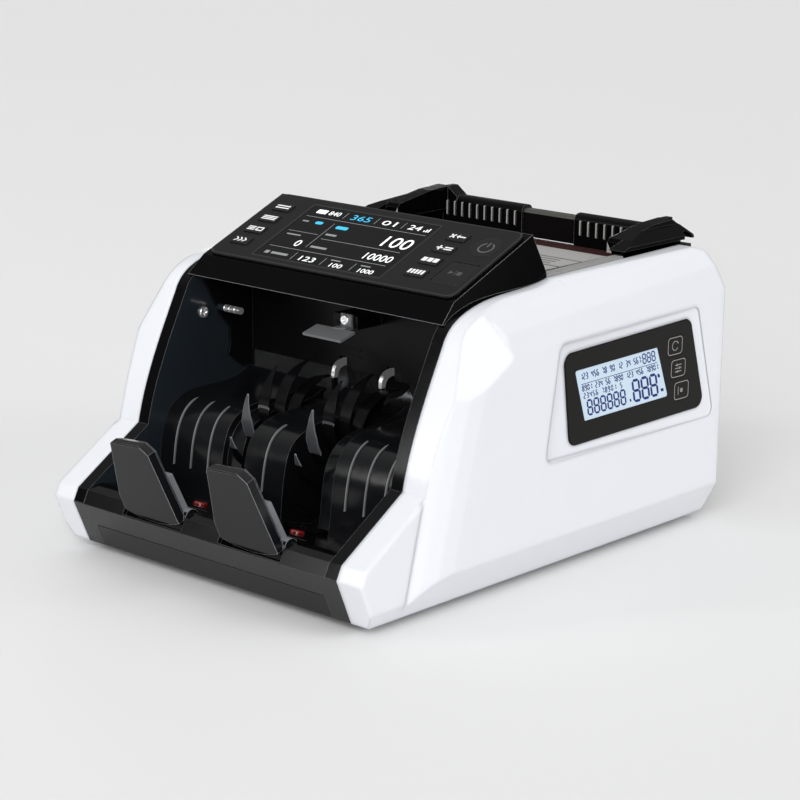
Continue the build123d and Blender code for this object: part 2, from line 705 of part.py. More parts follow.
def rail_body(grow, x0, x1):
    y0, y1, z0, z1 = RAIL
    bar = block(x0, x1, y0 - grow, y1 + grow, z0 - grow, z1 + grow)
    return fillet(bar.edges().filter_by(Axis.X).sort_by(Axis.Z)[-2:], 2.5 + grow)


def make_guide_rail():
    bar = rail_body(0, -91.4, 91.4)
    for side in (-1, 1):
        bar += block(min(side * 91.4, side * 99.6), max(side * 91.4, side * 99.6), 279.6, 285.0, 152.4, 163)
    return bar


def make_right_note_guide():
    """Wing beside the notes, and a ribbed grip that slides along the rail."""
    wall = 1.4
    grip = rail_body(CLEAR + wall, GUIDE_INNER_X, 88.5)
    for i in range(11):
        x = 25.0 + i * 6.0
        rib = block(x - 0.5, x + 0.5, RAIL[0] - CLEAR - wall - 0.9, RAIL[0] - CLEAR, 158.5, 167.5)
        grip += fillet(rib.edges().filter_by(Axis.X).sort_by(Axis.Y)[:2], 0.8)
    side = [(231.5, floor_z(231.5) + CLEAR), (231.5, 168), (233.5, 170.2), (262, 175.2), (280, 176.2),
            (286, 172.8), (288.4, 168.0), (288.4, 156), (279, floor_z(279) + CLEAR)]
    wing = prism_yz(side, 83, 89.5)
    cap = [(231.5, 162), (231.5, 168), (233.5, 170.2), (262, 175.2), (280, 176.2),
           (286, 172.8), (288.4, 168.0), (288.4, 162)]
    wing += prism_yz(cap, 79.5, 83)
    gusset = [(72, 170.5), (79.6, 176), (84, 176), (84, 160), (72, 160)]
    wing += prism_xz(gusset, RAIL[0] - CLEAR - wall, 287.6)
    shoulder = [(89, 173.5), (99.2, 168), (99.2, 165.9), (89, 165.9)]
    top = [(221, 165.8), (221, 166.4), (233.5, 170.2), (262, 175.2), (280, 176.2),
           (286, 172.8), (288.4, 165.8)]
    wing += prism_xz(shoulder, 221, 288.4) & prism_yz(top, 80, 100)
    return grip + wing - rail_body(CLEAR, 0, 120)


# ---- control panel --------------------------------------------------------------------------
def panel_point(u, height):
    slope = math.radians(PANEL_SLOPE)
    y = PANEL_FRONT[0] + u * math.cos(slope) - height * math.sin(slope)
    z = PANEL_FRONT[1] + u * math.sin(slope) + height * math.cos(slope)
    return (y, z)


OVERLAY_THICK = 1.6
SIDE_FLARE = 0.3


def flare_cut(half, depth_max):
    """What lies outside the housing's side faces, which spread outwards below the panel."""
    slope = math.radians(PANEL_SLOPE)
    along = Vector(0, math.cos(slope), math.sin(slope))
    base = Plane(origin=(0, *PANEL_FRONT), x_dir=(1, 0, 0), z_dir=along)
    outline = [(half, -6), (half, 0), (half + SIDE_FLARE * depth_max, depth_max), (140, depth_max), (140, -6)]
    wedge = extrude(base.offset(-40) * make_face(Polyline(*outline, close=True)), amount=160)
    return wedge + mirrored(wedge)


def housing_outline(inset):
    top_front = panel_point(-0.9 + 1.4 * inset, -OVERLAY_THICK - inset)
    top_rear = panel_point(68.4 - 1.2 * inset, -OVERLAY_THICK - inset)
    return [(72.3 + 2.2 * inset, 147.2 + inset * 0.6), top_front, top_rear, (151.8 - inset, 163.4),
            (151.8 - inset, 146 + inset), (76 + inset, 146 + inset)]


def key_holes(grow):
    places = [(KEY_LEFT_X, u, *KEY_SIZE, 1.6) for u in KEY_U]
    places += [(KEY_RIGHT_X, u, *KEY_SIZE, 1.6) for u in KEY_U]
    places += [(*START_AT, 20, 20, 1.6)]
    sketch = Sketch()
    for x, u, width, depth, radius in places:
        sketch += pad(x, u, width + 2 * grow, depth + 2 * grow, radius + grow)
    sketch += Pos(*POWER_AT) * Circle(9 + grow)
    return sketch


def screen_sketch(grow):
    x0, x1 = SCREEN_X
    u0, u1 = SCREEN_U
    return Pos((x0 + x1) / 2, (u0 + u1) / 2) * Rectangle(x1 - x0 + 2 * grow, u1 - u0 + 2 * grow)


def make_control_housing():
    outer = prism_yz(housing_outline(0), -99.7, 99.7) - flare_cut(93.2, 60)
    inner = prism_yz(housing_outline(WALL), -97, 97) - flare_cut(93.2 - WALL, 60)
    ledge = side_profile() - side_profile(3.3)
    rim = extrude(Plane.YZ.offset(CAVITY - 0.2) * ledge, amount=20, dir=(1, 0, 0))
    housing = outer - inner - rim - mirrored(rim)
    below = block(CAVITY - 0.2, 120, 40, 153, 100, 158)
    below &= extrude(Plane.YZ.offset(80) * side_profile(), amount=60, dir=(1, 0, 0))
    housing = housing - below - mirrored(below)
    housing -= on_panel(key_holes(0.5), -8, 2)
    housing -= on_panel(screen_sketch(-2), -8, 2)
    return housing


def make_panel_overlay():
    middle = PANEL_LENGTH / 2
    sheet = on_panel(pad(0, middle, 183.0, PANEL_LENGTH - 1.0, 6), -OVERLAY_THICK, 0)
    top = sheet.faces().sort_by(Axis.Z)[-1]
    sheet = chamfer(top.edges(), 0.4)
    sheet -= on_panel(screen_sketch(0.1), -3, 2)
    return sheet - on_panel(key_holes(KEY_GAP), -3, 2)


def make_main_display():
    return on_panel(screen_sketch(0), -OVERLAY_THICK, -0.15)


def panel_key(x, u, width, depth, rise):
    cap = on_panel(pad(x, u, width, depth, 1.6), -OVERLAY_THICK, rise)
    return chamfer(cap.faces().sort_by(Axis.Z)[-1].edges(), 0.35)


def make_power_key():
    return on_panel(Pos(*POWER_AT) * Circle(9), -OVERLAY_THICK, 0.1)


def make_gap_knob():
    x, y = GAP_KNOB_AT
    cap = rod_z(x, y, 8, 150, 158)
    for i in range(12):
        angle = math.radians(i * 30)
        cap -= rod_z(x + 8.6 * math.cos(angle), y + 8.6 * math.sin(angle), 1.4, 140, 170)
    return cap + rod_z(x, y, GAP_SCREW, 138, 150.5)


# ---- electronics and rear --------------------------------------------------------------------
def make_main_board():
    return block(-30, 80, 150, 262, 12, 13.6) + block(-10, 10, 170, 190, 13.6, 16) \
        + block(30, 60, 200, 222, 13.6, 24)


def make_power_supply():
    core = block(30, 84, 232, 270, 26, 66)
    core += block(24, 90, 236, 266, 34, 58)
    return core + block(28, 86, 240, 262, 13.8, 27)


SWITCH_AT = (-70.0, 32.0)       # X, Z of the rocker
SWITCH_AXIS = (285.6, 32.0)
SWITCH_SWING = 12.0
REAR_HINGE = (284.4, 62.6)      # Y, Z of the dust cover's hinge pin
HINGE_X = 70.0
HINGE_PIN = 1.2
HINGE_KNUCKLE = 2.4
ARM_X = [side * HINGE_X + near * 10.6 for side in (-1, 1) for near in (-1, 1)]


def make_rear_cover():
    outline = [(286, 60.6), (288.5, 60.6), (288.5, 141), (285.8, 147.5), (284, 147), (286, 140)]
    cover_plate = prism_yz(outline, -99.4, 99.4)
    grip = Pos(0, 290, 132) * Box(46, 6, 12)
    cover_plate -= fillet(grip.edges().filter_by(Axis.Y), 4)
    for row in range(6):
        cover_plate -= block(-60, 60, 280, 292, 74 + row * 6, 76.4 + row * 6)
    for x in ARM_X:
        cover_plate -= block(x - 2.5, x + 2.5, 280, 292, 55, 66.6)
    for x in (-HINGE_X, HINGE_X):
        cover_plate += rod_x(REAR_HINGE, HINGE_KNUCKLE, x - 8, x + 8)
        cover_plate -= rod_x(REAR_HINGE, HINGE_PIN + RUN, x - 9, x + 9)
    return cover_plate


def make_rear_panel():
    plate = block(-99.4, 99.4, 286, 288.5, 6, 57.6)
    x, z = SWITCH_AT
    plate += block(x - 8.2, x + 8.2, 288, 289.5, z - 13.2, z + 13.2)
    plate -= block(x - 6, x + 6, 280, 292, z - 11.2, z + 11.2)
    plate -= inlet_shape(0.2)
    plate -= block(50, 66, 280, 292, 24, 32)
    plate -= block(74, 84, 280, 292, 24, 34)
    for x in ARM_X:
        plate += block(x - 2, x + 2, 282.4, 286.8, 55, 62) + rod_x(REAR_HINGE, HINGE_KNUCKLE, x - 2, x + 2)
    for x in (-HINGE_X, HINGE_X):
        plate += rod_x(REAR_HINGE, HINGE_PIN, x - 12, x + 12)
    return plate


def inlet_shape(grow):
    face = RectangleRounded(27.4 + 2 * grow, 19.8 + 2 * grow, 2)
    return Pos(-40, 270 - grow, 32) * extrude(Plane.XZ * face, amount=-(18.5 + 2 * grow))


def make_power_inlet():
    """Three-pin appliance inlet: a flanged shroud with blades in its well."""
    body = inlet_shape(0)
    body += Pos(-40, 288.5, 32) * extrude(Plane.XZ * RectangleRounded(30, 22.4, 2.5), amount=-1.2)
    well = Polyline((-12.2, -8), (12.2, -8), (12.2, 3.4), (7.6, 8), (-7.6, 8), (-12.2, 3.4), close=True)
    body -= Pos(-40, 273.5, 32) * extrude(Plane.XZ * make_face(well), amount=-20)
    for x, z in ((-7, -0.5), (0, 2.2), (7, -0.5)):
        body += Pos(-40 + x, 279.5, 32 + z) * Box(2, 14, 4)
    return body


def make_power_switch():
    """Rocker whose rear face is two flats that meet at the axis."""
    y, z = SWITCH_AXIS
    tip = math.tan(math.radians(SWITCH_SWING)) * 9.4
    side = [(y - 4, z - 6), (y - 4, z + 6), (y + 2.6, z + 9.4), (y + 3.6, z),
            (y + 2.6 + tip, z - 9.4)]
    return prism_yz(side, SWITCH_AT[0] - 5.6, SWITCH_AT[0] + 5.6)


def make_feet():
    feet = []
    for x in (-82, 82):
        for y in (28, 262):
            foot = rod_z(x, y, 9, 0, GROUND_GAP)
            feet.append(chamfer(foot.edges().sort_by(Axis.Z)[0], 1.2))
    return together(feet)


def screw_head(at, normal):
    seat = Plane(origin=at, z_dir=normal)
    head = extrude(seat * Circle(3.2), amount=1.8)
    head = fillet(head.faces().sort_by(Axis(at, normal))[-1].edges(), 0.9)
    cross = Rectangle(3.6, 0.9) + Rectangle(0.9, 3.6)
    return head - extrude(seat.offset(1.0) * cross, amount=3)


def make_screws():
    seats = [((-CAVITY, 80.5, 124.4), (1, 0, 0)), ((CAVITY, 80.5, 124.4), (-1, 0, 0)),
             ((4, 97.4, 132.0), (0, -1, 0))]
    for x in (-88, 88):
        for z in (14, 52):
            seats.append(((x, 288.5, z), (0, 1, 0)))
    for x in (-60, 60):
        for y in (60, 200):
            seats.append(((x, y, GROUND_GAP), (0, 0, -1)))
    return together([screw_head(at, normal) for at, normal in seats])


def all_nodes():
    right_guide = make_right_note_guide()
    nodes = {
        "left_side_shell": make_left_shell(), "right_side_shell": make_right_shell(),
        "side_display_plate": make_side_display_plate(), "side_lcd": make_side_lcd(),
        "base_pan": make_base_pan(), "front_panel": make_front_panel(),
        "front_inset_plate": make_front_inset_plate(), "stacker_tray": make_stacker_tray(),
        "tray_sensor_lenses": make_tray_leds(), "left_paddle": paddle(-PADDLE_X),
        "right_paddle": paddle(PADDLE_X), "paddle_pins": make_paddle_pins(),
        "throat_liners": make_throat_liners(), "throat_back": make_throat_back(),
        "stacker_covers": make_stacker_covers(), "deflector_fingers": make_deflector_fingers(),
        "sensor_bracket": make_sensor_bracket(), "impeller_shaft": make_impeller_shaft(),
        "impeller_wheels": make_impeller_wheels(), "feed_shaft": make_feed_shaft(),
        "feed_rollers": make_feed_rollers(), "pickup_shaft": make_pickup_shaft(),
        "pickup_rollers": make_pickup_rollers(), "retard_rollers": make_retard_rollers(),
        "main_motor": make_main_motor(), "main_motor_pulley": make_main_motor_pulley(),
        "drive_belts": make_drive_belts(), "chassis_plates": make_chassis_plates(),
        "bushings": make_bushings(), "hopper_body": make_hopper_body(),
        "floor_insert": make_floor_insert(),
        "hopper_side_strips": make_hopper_side_strips(), "guide_rail": make_guide_rail(),
        "right_note_guide": right_guide, "left_note_guide": mirrored(right_guide),
        "control_housing": make_control_housing(), "panel_overlay": make_panel_overlay(),
        "main_display": make_main_display(), "power_key": make_power_key(),
        "start_key": panel_key(*START_AT, 20, 20, -0.1), "gap_knob": make_gap_knob(),
        "main_board": make_main_board(),
        "power_supply": make_power_supply(), "rear_cover": make_rear_cover(),
        "rear_panel": make_rear_panel(), "power_inlet": make_power_inlet(),
        "power_switch": make_power_switch(), "feet": make_feet(), "screws": make_screws(),
    }
    for i, u in enumerate(KEY_U):
        nodes[f"left_key_{i + 1}"] = panel_key(KEY_LEFT_X, u, *KEY_SIZE, 0.7)
        nodes[f"right_key_{i + 1}"] = panel_key(KEY_RIGHT_X, u, *KEY_SIZE, 0.7)
    for i in range(len(SIDE_KEYS)):
        nodes[f"side_key_{i + 1}"] = make_side_key(i)
    return nodes


def main():
    os.makedirs("parts", exist_ok=True)
    whole = None
    for name, shape in all_nodes().items():
        placed = together([Pos(0, -DEPTH_CENTRE, 0) * solid for solid in shape.solids()])
        export_step(placed, f"parts/{name}.step")
        box = placed.bounding_box()
        whole = box if whole is None else whole.add(box)
    print("box", whole)


if __name__ == "__main__":
    main()
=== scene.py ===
import math

import bmesh
import bpy
from mathutils import Matrix, Vector


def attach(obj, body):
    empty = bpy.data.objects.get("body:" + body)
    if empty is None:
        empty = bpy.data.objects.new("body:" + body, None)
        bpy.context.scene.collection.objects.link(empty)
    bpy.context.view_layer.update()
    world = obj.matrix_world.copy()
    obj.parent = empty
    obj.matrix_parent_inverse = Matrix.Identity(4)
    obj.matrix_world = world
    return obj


# Looks for a desktop banknote counter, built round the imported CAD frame.  Blender works in metres,
# +Z up and +Y to the rear.  Sizes are written in millimetres unless a comment says otherwise, and
# mm() turns them into metres.  Depths count from the foot of the front panel, as in the drawing.

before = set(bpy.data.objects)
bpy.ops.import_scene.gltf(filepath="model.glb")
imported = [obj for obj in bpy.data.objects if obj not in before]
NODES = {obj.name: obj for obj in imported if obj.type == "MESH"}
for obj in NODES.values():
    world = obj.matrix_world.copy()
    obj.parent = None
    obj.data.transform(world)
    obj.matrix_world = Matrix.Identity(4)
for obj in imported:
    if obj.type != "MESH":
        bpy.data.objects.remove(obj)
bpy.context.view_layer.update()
HOUSING = "housing"

# ---- driving dimensions, the same as the CAD's ----------------------------------------------
DEPTH_CENTRE = 132.17            # drawing depth of the model's Y = 0
SIDE_OUT = 122.7                 # outer face of the side shells
PANEL_FRONT = (83.16, 159.16)    # (y, z) of the control panel's front edge
PANEL_SLOPE = math.radians(23.26)
PANEL_LENGTH = 67.5              # up the slope
FLOOR_REAR = (280.0, 153.0)      # (y, z) of the hopper floor's rear edge
FLOOR_SLOPE = math.radians(20)
DISPLAY_TILT = math.radians(1.25)
DISPLAY_PIVOT_Y = 271.0          # depth on the shells' outer face that the display is turned about
CAVITY = 92.0                    # half width of the note path
RIBS = (0.0, 52.5, 66.0, 79.5)   # distances from the middle of the stacker covers' ribs
STACK_AXIS = (84.0, 58.0)        # (y, z) of the impeller shaft
PADDLE_FOOT = (-9.2, 31.8)       # (y, z) of the paddles' front face at its foot
PADDLE_LEAN = math.atan2(17, 46)
PADDLE_THICK = 6.5
PADDLE_X = 37.0                  # distance of each paddle's middle from the machine's


def mm(*values):
    """Millimetres to metres: a number, or a drawing point (x, y, z)."""
    if len(values) == 1:
        return values[0] / 1000
    x, y, z = values
    return Vector((x, y - DEPTH_CENTRE, z)) / 1000


# ---- camera, floor and light ----------------------------------------------------------------
CAMERA_AZIMUTH = math.radians(41.82)
CAMERA_ELEVATION = math.radians(14.27)
CAMERA_ROLL = math.radians(0.71)
CAMERA_AT = (878.3, -834.7, 412.1)
CAMERA_LENS = 107.46
CAMERA_SENSOR = 36
CAMERA_REACH = 50                # metres
FLOOR_REACH = 12                 # metres
FLOOR_PAINT = (0.80, 0.80, 0.80)

# (height, grey level) of the studio dome, from the horizon to overhead
SKY_STOPS = [(0.0, 0.10), (0.35, 0.16), (0.7, 0.55), (1.0, 1.0)]
# name: direction towards the light, power, angular size in degrees
SUNS = {
    "sun_front": ((0.50, -0.85, 0.50), 2.0, 40),
    "sun_right": ((0.93, 0.30, 0.35), 0.72, 40),
    "sun_back": ((-0.85, 0.75, 0.10), 0.55, 15),
}
# name: place, the point it shines at and its width and height, all in metres, then its power
STRIPS = {
    "strip_left": ((-1.1, -1.5, 0.9), (0, -0.05, 0.08), (0.12, 1.2), 5),
    "strip_right": ((1.5, -1.6, 1.1), (0, 0, 0.1), (0.15, 1.0), 4),
}


def add_camera():
    """Camera at the photograph's place, turned by its azimuth, elevation and roll."""
    back = Vector((math.sin(CAMERA_AZIMUTH) * math.cos(CAMERA_ELEVATION),
                   -math.cos(CAMERA_AZIMUTH) * math.cos(CAMERA_ELEVATION),
                   math.sin(CAMERA_ELEVATION)))
    level = Vector((math.cos(CAMERA_AZIMUTH), math.sin(CAMERA_AZIMUTH), 0))
    up = back.cross(level)
    right = level * math.cos(CAMERA_ROLL) + up * math.sin(CAMERA_ROLL)
    up = up * math.cos(CAMERA_ROLL) - level * math.sin(CAMERA_ROLL)
    turn = Matrix((right, up, back)).transposed().to_4x4()
    data = bpy.data.cameras.new("camera")
    data.lens = CAMERA_LENS
    data.sensor_width = CAMERA_SENSOR
    data.clip_end = CAMERA_REACH
    camera = bpy.data.objects.new("camera", data)
    camera.matrix_world = Matrix.Translation(mm(*CAMERA_AT)) @ turn
    bpy.context.scene.collection.objects.link(camera)
    bpy.context.scene.camera = camera


def add_floor():
    """Plain pale floor, square to the machine."""
    mesh = bpy.data.meshes.new("floor")
    corners = [(a * FLOOR_REACH, b * FLOOR_REACH, 0) for a, b in ((-1, -1), (1, -1), (1, 1), (-1, 1))]
    mesh.from_pydata(corners, [], [(0, 1, 2, 3)])
    floor = bpy.data.objects.new("floor", mesh)
    bpy.context.scene.collection.objects.link(floor)
    mesh.materials.append(plastic("floor_paint", FLOOR_PAINT, 0.95, shine=0.1))


def hang(name, kind, power):
    """New lamp of one kind, not yet placed."""
    data = bpy.data.lights.new(name, kind)
    data.energy = power
    lamp = bpy.data.objects.new(name, data)
    bpy.context.scene.collection.objects.link(lamp)
    return lamp


def add_sun(name, towards, power, spread):
    """Far soft light; towards points from the object to the light, spread is in degrees."""
    lamp = hang(name, "SUN", power)
    lamp.data.angle = math.radians(spread)
    lamp.rotation_euler = Vector(towards).to_track_quat("Z", "Y").to_euler()


def add_strip(name, place, aim, size, power):
    """Narrow lamp that draws bright lines along gloss edges."""
    lamp = hang(name, "AREA", power)
    lamp.data.shape = "RECTANGLE"
    lamp.data.size, lamp.data.size_y = size
    lamp.location = place
    lamp.rotation_euler = (Vector(aim) - Vector(place)).to_track_quat("-Z", "Y").to_euler()


def add_sky():
    """Studio dome, dim at the horizon and bright overhead, so that gloss black stays dark."""
    world = bpy.data.worlds.new("world")
    world.use_nodes = True
    tree = world.node_tree
    split = tree.nodes.new("ShaderNodeSeparateXYZ")
    tree.links.new(tree.nodes.new("ShaderNodeTexCoord").outputs["Generated"], split.inputs["Vector"])
    ramp = tree.nodes.new("ShaderNodeValToRGB")
    stops = ramp.color_ramp.elements
    stops.remove(stops[1])
    for i, (height, level) in enumerate(SKY_STOPS):
        stop = stops.new(height) if i else stops[0]
        stop.position = height
        stop.color = (level, level, level, 1)
    tree.links.new(split.outputs["Z"], ramp.inputs["Fac"])
    tree.links.new(ramp.outputs["Color"], tree.nodes["Background"].inputs["Color"])
    tree.nodes["Background"].inputs["Strength"].default_value = 1.0
    bpy.context.scene.world = world


def add_lights():
    add_sky()
    for name, (towards, power, spread) in SUNS.items():
        add_sun(name, towards, power, spread)
    for name, (place, aim, size, power) in STRIPS.items():
        add_strip(name, place, aim, size, power)


def set_view():
    """Plain colours, as the photograph has them."""
    scene = bpy.context.scene
    scene.view_settings.view_transform = "Standard"
    scene.view_settings.look = "None"
    scene.cycles.use_denoising = True


# ---- materials ------------------------------------------------------------------------------
MOTTLE_SCALE = 45                # blotches per metre, as the other noise scales are
MOTTLE_DETAIL = 4                # finer layers of noise on top of the first
PATCH_SCALE = 70
PATCH_DETAIL = 5
GRAIN_DETAIL = 2
GRAIN_DEPTH = 0.05
EDGE_ANGLE = (0.97, 0.78)        # cosines at which a painted edge highlight starts and is full
EDGE_HIGHLIGHT_BLUE = 1.04                 # painted edge highlights are slightly blue
BEVEL_SAMPLES = 4
EDGE_SAMPLES = 6


def plastic(name, colour, rough, **extra):
    """Principled material with optional fine grain, colour mottle, painted edge highlights and rough
    patches.

    metal, coat, coat_rough, shine and glow are the shader's own levels; grain = (scale per metre,
    strength); mottle = how far the colour drifts; patches = how far the roughness drifts;
    bevel = radius of the soft edge drawn on hard corners; edge = (radius, grey level) of the
    painted highlight line along them."""
    material = bpy.data.materials.new(name)
    material.use_nodes = True
    tree = material.node_tree
    shader = tree.nodes["Principled BSDF"]
    shader.inputs["Base Color"].default_value = (*colour, 1)
    shader.inputs["Roughness"].default_value = rough
    shader.inputs["Metallic"].default_value = extra.get("metal", 0)
    shader.inputs["Coat Weight"].default_value = extra.get("coat", 0)
    shader.inputs["Coat Roughness"].default_value = extra.get("coat_rough", 0.05)
    shader.inputs["Specular IOR Level"].default_value = extra.get("shine", 0.5)
    if "glow" in extra:
        shader.inputs["Emission Color"].default_value = (*colour, 1)
        shader.inputs["Emission Strength"].default_value = extra["glow"]
    where = tree.nodes.new("ShaderNodeTexCoord").outputs["Object"]
    if extra.get("mottle"):
        scale = extra.get("mottle_scale", MOTTLE_SCALE)
        drift_colour(tree, shader, where, colour, extra["mottle"], scale)
    if extra.get("patches"):
        drift_roughness(tree, shader, where, rough, extra["patches"])
    # painted highlight along hard edges
    if extra.get("edge"):
        paint_edge_highlights(tree, shader, extra["edge"])
    normal = None
    if extra.get("bevel"):
        normal = soft_corner(tree, extra["bevel"], BEVEL_SAMPLES)
    if extra.get("grain"):
        normal = add_grain(tree, where, extra["grain"], normal)
    if normal:
        tree.links.new(normal, shader.inputs["Normal"])
    return material


def soft_corner(tree, radius, samples):
    """Normal that is rounded off near hard corners."""
    bevel = tree.nodes.new("ShaderNodeBevel")
    bevel.samples = samples
    bevel.inputs["Radius"].default_value = mm(radius)
    return bevel.outputs["Normal"]


def noise(tree, where, scale, detail):
    """Noise of so many blotches per metre."""
    node = tree.nodes.new("ShaderNodeTexNoise")
    node.inputs["Scale"].default_value = scale
    node.inputs["Detail"].default_value = detail
    tree.links.new(where, node.inputs["Vector"])
    return node.outputs["Fac"]


def drift_colour(tree, shader, where, colour, amount, scale):
    """Mottles the base colour."""
    mix = tree.nodes.new("ShaderNodeMix")
    mix.data_type = "RGBA"
    mix.inputs["A"].default_value = (*[c * (1 - amount) for c in colour], 1)
    mix.inputs["B"].default_value = (*[min(1, c * (1 + amount)) for c in colour], 1)
    tree.links.new(noise(tree, where, scale, MOTTLE_DETAIL), mix.inputs["Factor"])
    tree.links.new(mix.outputs["Result"], shader.inputs["Base Color"])


def drift_roughness(tree, shader, where, rough, amount):
    """Patches of higher and lower gloss."""
    spread = tree.nodes.new("ShaderNodeMapRange")
    spread.inputs["To Min"].default_value = rough - amount
    spread.inputs["To Max"].default_value = rough + amount
    tree.links.new(noise(tree, where, PATCH_SCALE, PATCH_DETAIL), spread.inputs["Value"])
    tree.links.new(spread.outputs["Result"], shader.inputs["Roughness"])


def paint_edge_highlights(tree, shader, edge):
    """Painted edge highlight: lightens the base colour where the rounded-off normal leaves the real one."""
    radius, level = edge
    match = tree.nodes.new("ShaderNodeVectorMath")
    match.operation = "DOT_PRODUCT"
    tree.links.new(soft_corner(tree, radius, EDGE_SAMPLES), match.inputs[0])
    tree.links.new(tree.nodes.new("ShaderNodeNewGeometry").outputs["Normal"], match.inputs[1])
    spread = tree.nodes.new("ShaderNodeMapRange")
    spread.inputs["From Min"].default_value, spread.inputs["From Max"].default_value = EDGE_ANGLE
    tree.links.new(match.outputs["Value"], spread.inputs["Value"])
    mix = tree.nodes.new("ShaderNodeMix")
    mix.data_type = "RGBA"
    base = shader.inputs["Base Color"]
    if base.is_linked:
        tree.links.new(base.links[0].from_socket, mix.inputs["A"])
    else:
        mix.inputs["A"].default_value = base.default_value
    mix.inputs["B"].default_value = (level, level, level * EDGE_HIGHLIGHT_BLUE, 1)
    tree.links.new(spread.outputs["Result"], mix.inputs["Factor"])
    tree.links.new(mix.outputs["Result"], base)


def add_grain(tree, where, grain, normal):
    """Fine moulded texture on top of the given normal, if there is one."""
    scale, strength = grain
    bump = tree.nodes.new("ShaderNodeBump")
    bump.inputs["Strength"].default_value = strength
    bump.inputs["Distance"].default_value = mm(GRAIN_DEPTH)
    tree.links.new(noise(tree, where, scale, GRAIN_DETAIL), bump.inputs["Height"])
    if normal:
        tree.links.new(normal, bump.inputs["Normal"])
    return bump.outputs["Normal"]


